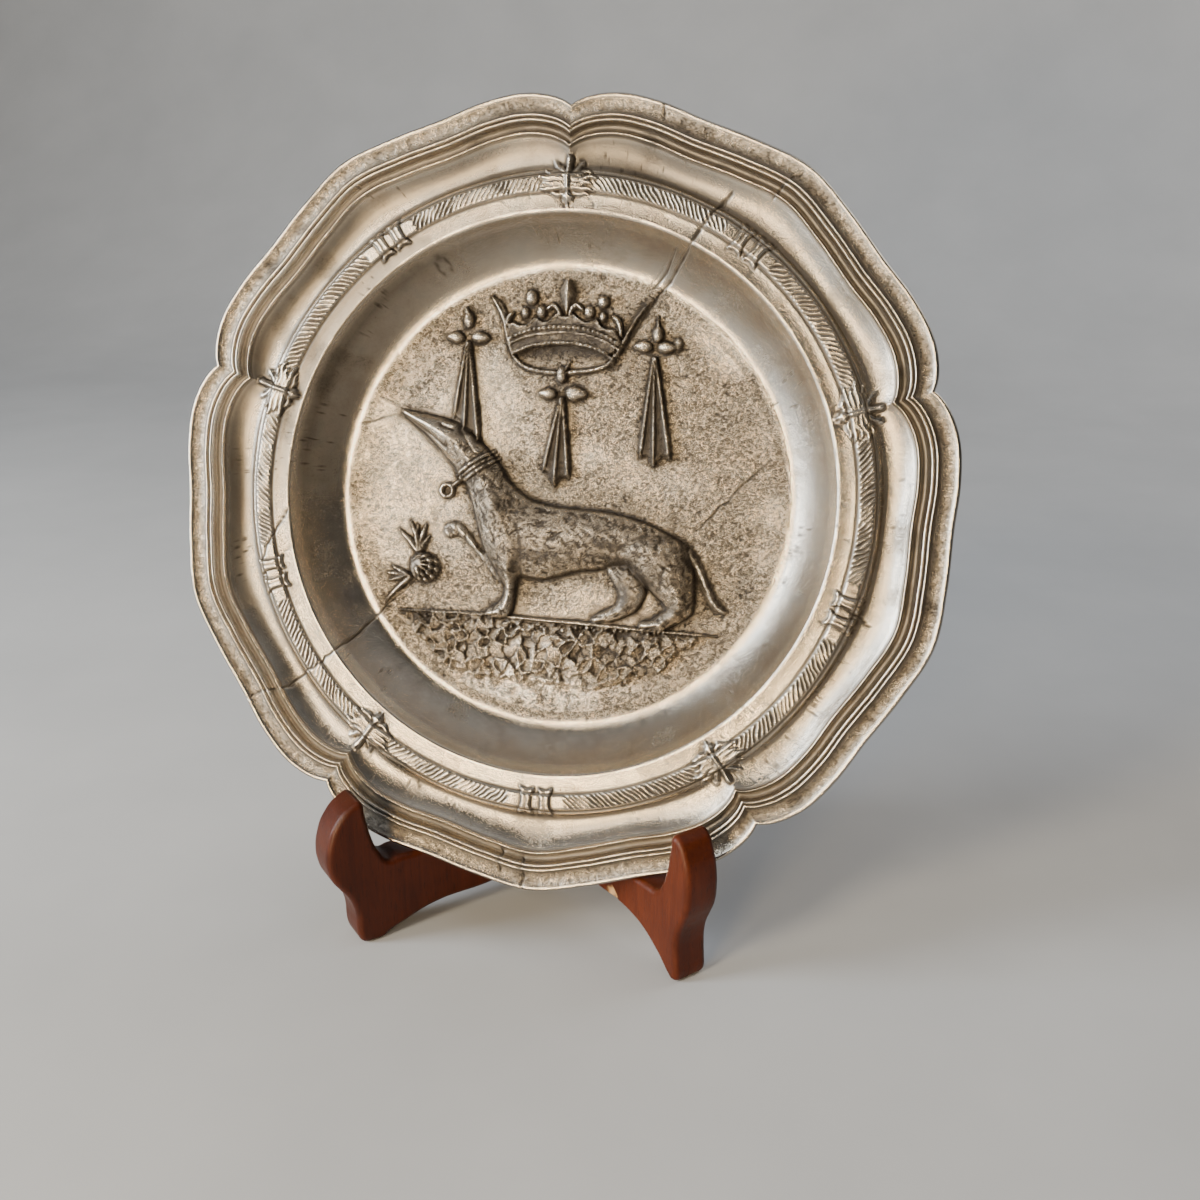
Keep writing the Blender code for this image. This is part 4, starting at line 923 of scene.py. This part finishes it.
def board_outline(front, foot_length, arch, seat):
    """A board seen from its side as (s, z), with s running back and inwards from the front foot."""
    hook = [(1.4, 46.9), (4.2, 47.3), (5.3, 43.0), (6.6, 36.0), (8.4, 30.4), (11.6, 25.8)]
    bar = [(15.0, seat), (22.0, seat), (27.0, seat + 2.4), (36.0, seat + 6.4), (52.0, seat + 10.0),
           (68.0, seat + 12.4), (75.0, seat + 17.0), (78.4, seat + 28.0)]
    upright = [(79.2, 70.0), (79.5, 96.0), (84.1, 109.0), (89.3, 120.8), (93.6, 125.3), (98.8, 123.7),
               (101.5, 117.0), (100.2, 92.0), (101.2, 52.0), (107.4, 26.0), (112.4, 9.0)]
    rear_foot = [(114.2, 2.0), (112.6, 0.0), (106.6, 0.0), (103.9, 1.4), (100.4, 5.0), (88.0, 10.0), (70.0, 11.6)]
    under = [(46.0, arch + 0.6), (foot_length + 15.0, arch), (foot_length + 5.0, 0.52 * arch),
             (foot_length - 0.2, 1.1), (foot_length - 2.0, 0.0)]
    return list(front) + hook + bar + upright + rear_foot + under


def board_frame(side):
    along = Vector((-side * math.sin(BOARD_ANGLE), math.cos(BOARD_ANGLE), 0.0))
    up = Vector((0.0, 0.0, 1.0))
    turn = Matrix((along, up, along.cross(up))).transposed().to_4x4()
    foot = Vector((STAND_OFFSET + side * FOOT_HALF_SPAN, CENTRE[1] - FOOT_FRONT, 0.0)) * MM
    return Matrix.Translation(foot) @ turn


def evaluated_mesh(item):
    return bpy.data.meshes.new_from_object(item.evaluated_get(bpy.context.evaluated_depsgraph_get()))


def worked_mesh(mesh, work, place):
    """Work on a mesh as a bmesh, then move it to its place."""
    shape = bmesh.new()
    shape.from_mesh(mesh)
    work(shape)
    shape.to_mesh(mesh)
    shape.free()
    mesh.transform(place)
    return mesh


def clean_blank(shape):
    for vert in shape.verts:
        vert.co.y = max(vert.co.y, 0.0)
    bmesh.ops.remove_doubles(shape, verts=shape.verts, dist=1e-6)
    bmesh.ops.dissolve_limit(shape, angle_limit=0.002, verts=shape.verts, edges=shape.edges)
    bmesh.ops.recalc_face_normals(shape, faces=shape.faces)


def board_blank(name, side, outline):
    """The board before its slot is cut, with its edges rounded over."""
    curve = bpy.data.curves.new(name + "_outline", "CURVE")
    curve.dimensions = "2D"
    curve.fill_mode = "BOTH"
    curve.extrude = (BOARD_THICKNESS / 2 - ROUNDING) * MM
    curve.bevel_depth = ROUNDING * MM
    curve.bevel_resolution = 3
    curve.offset = -ROUNDING * MM
    curve.resolution_u = 8
    spline = curve.splines.new("BEZIER")
    spline.use_cyclic_u = True
    spline.bezier_points.add(len(outline) - 1)
    for point, (s, z) in zip(spline.bezier_points, outline):
        point.co = (s * MM, z * MM, 0.0)
        point.handle_left_type = point.handle_right_type = "AUTO"
    item = link_object(name + "_outline", curve)
    mesh = evaluated_mesh(item)
    bpy.data.objects.remove(item, do_unlink=True)
    return worked_mesh(mesh, clean_blank, board_frame(side))


def ragged_lump(shape):
    bmesh.ops.create_icosphere(shape, subdivisions=2, radius=1.0)
    rng = np.random.default_rng(61)
    for vert in shape.verts:
        vert.co *= rng.uniform(0.84, 1.12)
        vert.co = Vector([a * b * MM for a, b in zip(vert.co, CHIP_REACH)])


def board_cutters(node, side):
    """The block that cuts the half-lap slot, and on the right board the lump that breaks its lower edge."""
    crossing = FOOT_HALF_SPAN / math.sin(BOARD_ANGLE)
    low, high = (-10.0, SLOT_LEVEL + SLOT_GAP / 2) if side > 0 else (SLOT_LEVEL - SLOT_GAP / 2, 90.0)
    size = Matrix.Diagonal((60.0 * MM, (high - low) * MM, (BOARD_THICKNESS + 2 * SLOT_GAP) * MM, 1.0))
    place = board_frame(-side) @ Matrix.Translation((crossing * MM, (low + high) / 2 * MM, 0.0)) @ size
    cutters = [("slot", lambda shape: bmesh.ops.create_cube(shape, size=1.0), place)]
    if side > 0:
        cutters.append(("chip", ragged_lump, board_frame(side) @ Matrix.Translation(Vector(CHIP) * MM)))
    return [link_object(node + "_" + name, worked_mesh(bpy.data.meshes.new(name), work, place))
            for name, work, place in cutters]


def build_board(node, side, outline, material):
    board = link_object(node + "_shaped", board_blank(node, side, outline))
    cutters = board_cutters(node, side)
    for cutter in cutters:
        cut = board.modifiers.new(cutter.name, "BOOLEAN")
        cut.operation = "DIFFERENCE"
        cut.object = cutter
    mesh = evaluated_mesh(board)
    board.modifiers.clear()
    board.data = mesh
    for cutter in cutters:
        bpy.data.objects.remove(cutter, do_unlink=True)
    mesh.shade_smooth()
    mesh.set_sharp_from_angle(angle=math.radians(50.0))
    board.modifiers.new("flat_faces", "WEIGHTED_NORMAL").keep_sharp = True
    mesh.materials.clear()
    mesh.materials.append(material)
    return board


# Materials

class Surface:
    """A new material, with short ways to add nodes to it."""

    def __init__(self, name):
        self.material = bpy.data.materials.new(name)
        self.material.use_nodes = True
        self.tree = self.material.node_tree

    def fill(self, node, inputs):
        """Link outputs to a node's sockets, and set the others to plain values."""
        for key, value in inputs.items():
            if isinstance(value, bpy.types.NodeSocket):
                self.tree.links.new(value, node.inputs[key])
            else:
                node.inputs[key].default_value = value

    def node(self, kind, inputs, **settings):
        node = self.tree.nodes.new(kind)
        for key, value in settings.items():
            setattr(node, key, value)
        self.fill(node, inputs)
        return node

    def finish(self, inputs):
        self.fill(self.tree.nodes["Principled BSDF"], inputs)
        return self.material

    def attribute(self, name, output="Fac"):
        return self.node("ShaderNodeAttribute", {}, attribute_name=name).outputs[output]

    def maths(self, operation, a, b=0.5, clamp=False):
        return self.node("ShaderNodeMath", {0: a, 1: b}, operation=operation, use_clamp=clamp).outputs[0]

    def times(self, a, b):
        return self.maths("MULTIPLY", a, b)

    def plus(self, a, b, clamp=False):
        return self.maths("ADD", a, b, clamp)

    def minus(self, a, b, clamp=False):
        return self.maths("SUBTRACT", a, b, clamp)

    def ramp(self, source, *stops):
        node = self.node("ShaderNodeValToRGB", {0: source})
        elements = node.color_ramp.elements
        while len(elements) < len(stops):
            elements.new(0.5)
        for element, (place, color) in zip(elements, stops):
            element.position = place
            element.color = (*(color if isinstance(color, tuple) else (color,) * 3), 1.0)
        return node.outputs[0]

    def noise(self, vector, scale, detail=3.0, roughness=0.6, distortion=0.0):
        node = self.node("ShaderNodeTexNoise", {"Vector": vector, "Scale": scale, "Detail": detail,
                                                "Roughness": roughness, "Distortion": distortion})
        return node.outputs["Fac"]

    def scaled(self, vector, scale, turn=0.0):
        node = self.node("ShaderNodeMapping", {"Vector": vector, "Scale": scale, "Rotation": (0.0, 0.0, turn)})
        return node.outputs["Vector"]

    def mix(self, share, a, b):
        """Color a with that share of the plain color b."""
        return self.node("ShaderNodeMix", {0: share, 6: a, 7: (*b, 1.0)}, data_type="RGBA").outputs[2]

    def distance(self, vector, point):
        return self.node("ShaderNodeVectorMath", {0: vector, 1: point}, operation="DISTANCE").outputs["Value"]

    def bump(self, height, strength, distance):
        node = self.node("ShaderNodeBump", {"Height": height, "Strength": strength, "Distance": distance})
        return node.outputs["Normal"]


METAL_TINTS = ((0.3, (0.31, 0.268, 0.222)), (0.5, (0.355, 0.318, 0.268)), (0.7, (0.375, 0.350, 0.310)))
ROUGH_TINT = (0.413, 0.325, 0.212)
POLISH_AND_HIGHLIGHT_TINT = (0.78, 0.71, 0.60)
# Near-black colour of the patina and of the painted shade.
PATINA_AND_SHADE_TINT = (0.026, 0.021, 0.017)


def pewter_material():
    """Aged pewter: satin grey-brown metal with near-black patina in the hollows and painted shade on one side and on
    the figures, and polish with painted highlight on high spots and edges.
    """
    s = Surface("aged_pewter")
    plan = s.attribute("plan", "Vector")
    dark, polish_and_highlight, rough = s.attribute("dark"), s.attribute("polish_and_highlight"), s.attribute("rough")
    clouds = s.noise(plan, 0.10, 4.0)
    turned_plan = s.scaled(plan, (0.75, 1.2, 1.0), 0.35)
    worms = s.noise(turned_plan, 0.95, 2.0, 0.5, 0.7)
    crease = s.minus(1.0, s.times(s.maths("ABSOLUTE", s.minus(worms, 0.5)), 12.0), True)
    broken = s.ramp(s.noise(plan, 0.9, 2.0, 0.5), (0.42, 0.0), (0.56, 1.0))
    crease = s.times(s.times(crease, broken), rough)
    grain = s.noise(turned_plan, 2.2, 4.0, 0.65, 0.4)
    specks = s.noise(plan, 3.2, 3.0, 0.7)
    pit = s.times(s.ramp(s.noise(plan, 1.7, 2.0, 0.5), (0.26, 1.0), (0.31, 0.0)), s.plus(rough, 0.25, True))
    stain = s.ramp(clouds, (0.5, 0.0), (0.7, 1.0))
    flecks = s.times(s.ramp(grain, (0.37, 1.0), (0.45, 0.0)), rough)
    # The dark attribute holds the patina and also painted shade on the plate's upper left and on the figures.
    patina_and_shade = dark
    for layer, share in ((pit, 0.5), (crease, 0.75), (stain, 0.12), (flecks, 0.45)):
        patina_and_shade = s.plus(patina_and_shade, s.times(layer, share))
    patina_and_shade = s.minus(patina_and_shade, s.times(polish_and_highlight, 0.5), True)
    aged_and_shaded = s.ramp(patina_and_shade, (0.0, 0.0), (0.35, 0.40), (0.7, 0.80), (1.0, 0.97))
    metal = s.mix(s.times(rough, 0.6), s.ramp(clouds, *METAL_TINTS), ROUGH_TINT)
    # Polished colour where the metal is worn bright and where highlight is painted.
    metal = s.mix(polish_and_highlight, metal, POLISH_AND_HIGHLIGHT_TINT)
    gloss = s.plus(s.plus(0.170, s.times(aged_and_shaded, 0.18)), s.times(specks, 0.10))
    relief = s.plus(s.times(grain, s.plus(rough, 0.12)), s.times(specks, 0.16))
    relief = s.minus(relief, s.times(crease, 0.5))
    return s.finish({
        "Base Color": s.mix(aged_and_shaded, metal, PATINA_AND_SHADE_TINT),
        "Metallic": s.minus(1.0, s.times(aged_and_shaded, 0.45)),
        "Roughness": s.minus(gloss, s.times(polish_and_highlight, 0.06)),
        "Normal": s.bump(relief, 0.95, 0.00035)})


WOOD_DEEP = (0.042, 0.0074, 0.0016)
WOOD_LIT = (0.103, 0.0206, 0.0049)
RAW_WOOD = (0.60, 0.40, 0.22)


def tinted(color, share):
    return tuple(share * v for v in color)


def wood_material(name, side, tone):
    """Stained wood with grain that runs up the board, satin varnish and lighter edges, partly worn and partly painted
    highlight.
    """
    # tone scales all the wood's colours as painted light: below 1 paints the left board in shade, above 1 lights the
    # right one a little.
    deep, lit = tinted(WOOD_DEEP, tone), tinted(WOOD_LIT, tone)
    s = Surface(name)
    spot = s.node("ShaderNodeTexCoord", {}).outputs["Object"]
    place = s.scaled(spot, (1.0, 1.0, 1.0), -(math.pi / 2 + side * BOARD_ANGLE))
    streaks = s.noise(s.scaled(place, (260.0, 90.0, 26.0)), 1.0, 5.0, 0.6, 0.8)
    fine = s.noise(s.scaled(place, (1500.0, 800.0, 90.0)), 1.0)
    pores = s.noise(s.scaled(place, (2600.0, 1500.0, 260.0)), 1.0, 2.0, 0.5)
    grain = s.plus(s.times(streaks, 0.6), s.times(fine, 0.4))
    color = s.ramp(grain, (0.30, deep), (0.52, tuple(0.5 * (a + b) for a, b in zip(deep, lit))), (0.74, lit))
    blotch = s.ramp(s.noise(place, 42.0), (0.4, 0.0), (0.7, 1.0))
    color = s.mix(s.times(blotch, 0.35), color, tinted(deep, 0.55))
    pore = s.ramp(pores, (0.33, 1.0), (0.40, 0.0))
    color = s.mix(s.times(pore, 0.45), color, tinted(deep, 0.3))
    # Lighter colour on the rounded edges: partly worn finish, partly painted highlight.
    worn = s.ramp(s.node("ShaderNodeNewGeometry", {}).outputs["Pointiness"], (0.52, 0.0), (0.60, 1.0))
    rubbed_and_highlight = s.times(worn, s.ramp(s.noise(place, 300.0, 4.0, 0.7), (0.45, 0.0), (0.62, 1.0)))
    color = s.mix(s.times(rubbed_and_highlight, 0.55), color, tinted(lit, 1.9))
    if side > 0:
        ends = [board_frame(side) @ ((Vector(CHIP) + Vector((shift, 0.0, 0.0))) * MM) for shift in (-0.8, 0.8)]
        reach = s.times(s.maths("MINIMUM", *[s.distance(spot, end) for end in ends]), 1000.0)
        ragged = s.times(s.noise(spot, 800.0, 2.0, 0.5), 1.6)
        color = s.mix(s.minus(3.2, s.plus(reach, ragged), True), color, RAW_WOOD)
    return s.finish({
        "Base Color": color,
        "Roughness": s.plus(0.30, s.times(fine, 0.24)),
        "Specular IOR Level": 0.22,
        "Normal": s.bump(s.minus(grain, s.times(pore, 0.4)), 0.35, 0.0002)})


def floor_material():
    s = Surface("pale_floor")
    tone = s.noise(s.node("ShaderNodeTexCoord", {}).outputs["Object"], 9.0, 4.0)
    return s.finish({"Base Color": s.ramp(tone, (0.3, (0.395, 0.405, 0.42)), (0.7, (0.44, 0.45, 0.465))),
                     "Roughness": 0.7})


# Stage, light and camera

LIT_POINT = (0.0, 0.0, 0.13)
LIGHTS = (("key_left", (-1.00, -0.42, 0.42), (0.34, 0.6), 18.0, (0.87, 0.94, 1.0)),
          ("warm_low", (-0.20, -0.88, 0.15), (0.20, 0.12), 8.0, (1.0, 0.75, 0.44)),
          ("window_left", (-0.52, -0.78, 0.56), (0.22, 0.40), 10.0, (1.0, 0.84, 0.61)),
          ("top_soft", (0.1, 0.25, 1.3), (2.0, 1.6), 6.0, (0.96, 0.98, 1.0)),
          ("back_soft", (1.10, 0.90, 1.10), (0.9, 0.7), 10.0, (1.0, 0.97, 0.93)))
CAMERA_PLACE = (0.08205, -0.33436, 0.22938)
CAMERA_TURN = (69.255, 0.0573, 11.2625)


def area_light(name, place, size, watts, color):
    data = bpy.data.lights.new(name, "AREA")
    data.shape = "RECTANGLE"
    data.size, data.size_y = size
    data.energy = watts
    data.color = color
    light = link_object(name, data)
    light.location = place
    light.rotation_euler = (Vector(LIT_POINT) - Vector(place)).to_track_quat("-Z", "Y").to_euler()


def sweep_floor():
    """A pale floor that curves up into a backdrop far behind the plate."""
    wide, front, turn_start, bend, top = 3.0, -2.5, 0.75, 0.6, 2.4
    profile = [(front, 0.0), (turn_start, 0.0)]
    profile += [(turn_start + bend * math.sin(a), bend * (1 - math.cos(a))) for a in np.radians(range(6, 91, 6))]
    profile.append((turn_start + bend, top))
    points = [(x, y, z - 0.0001) for y, z in profile for x in (-wide, wide)]
    faces = [(2 * k, 2 * k + 1, 2 * k + 3, 2 * k + 2) for k in range(len(profile) - 1)]
    mesh = bpy.data.meshes.new("floor")
    mesh.from_pydata(points, [], faces)
    mesh.shade_smooth()
    mesh.materials.append(floor_material())
    return link_object("floor", mesh)


def build_stage():
    sweep_floor()
    world = bpy.data.worlds.new("studio")
    bpy.context.scene.world = world
    world.use_nodes = True
    back = world.node_tree.nodes["Background"]
    back.inputs["Color"].default_value = (0.60, 0.63, 0.67, 1.0)
    back.inputs["Strength"].default_value = 0.14
    for light in LIGHTS:
        area_light(*light)


def build_camera():
    data = bpy.data.cameras.new("camera")
    data.sensor_width = 36.0
    data.lens = 37.5
    data.clip_start = 0.01
    camera = link_object("camera", data)
    camera.location = CAMERA_PLACE
    camera.rotation_euler = Euler([math.radians(a) for a in CAMERA_TURN], "XYZ")
    bpy.context.scene.camera = camera


def place_piece(piece, node):
    """The piece rides on the one body and stands for a CAD node."""
    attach(piece, "root")
    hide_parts(node)


def main():
    pewter = pewter_material()
    for piece in [build_field(pewter)] + build_rings(pewter):
        place_piece(piece, "plate")
    # The last number is the board's tone: painted shade on the left board, a little painted light on the right.
    for node, side, outline, slot, tone in (
            ("stand_board_left", -1, board_outline(LEFT_FRONT, foot_length=10.5, arch=5.6, seat=26.0),
             "wood_left", 0.66),
            ("stand_board_right", 1, board_outline(RIGHT_FRONT, foot_length=5.5, arch=10.6, seat=25.3),
             "wood_right", 1.02)):
        wood = wood_material("stained_with_painted_light_" + slot, side, tone)
        place_piece(build_board(node, side, outline, wood), node)
    build_stage()
    build_camera()


main()
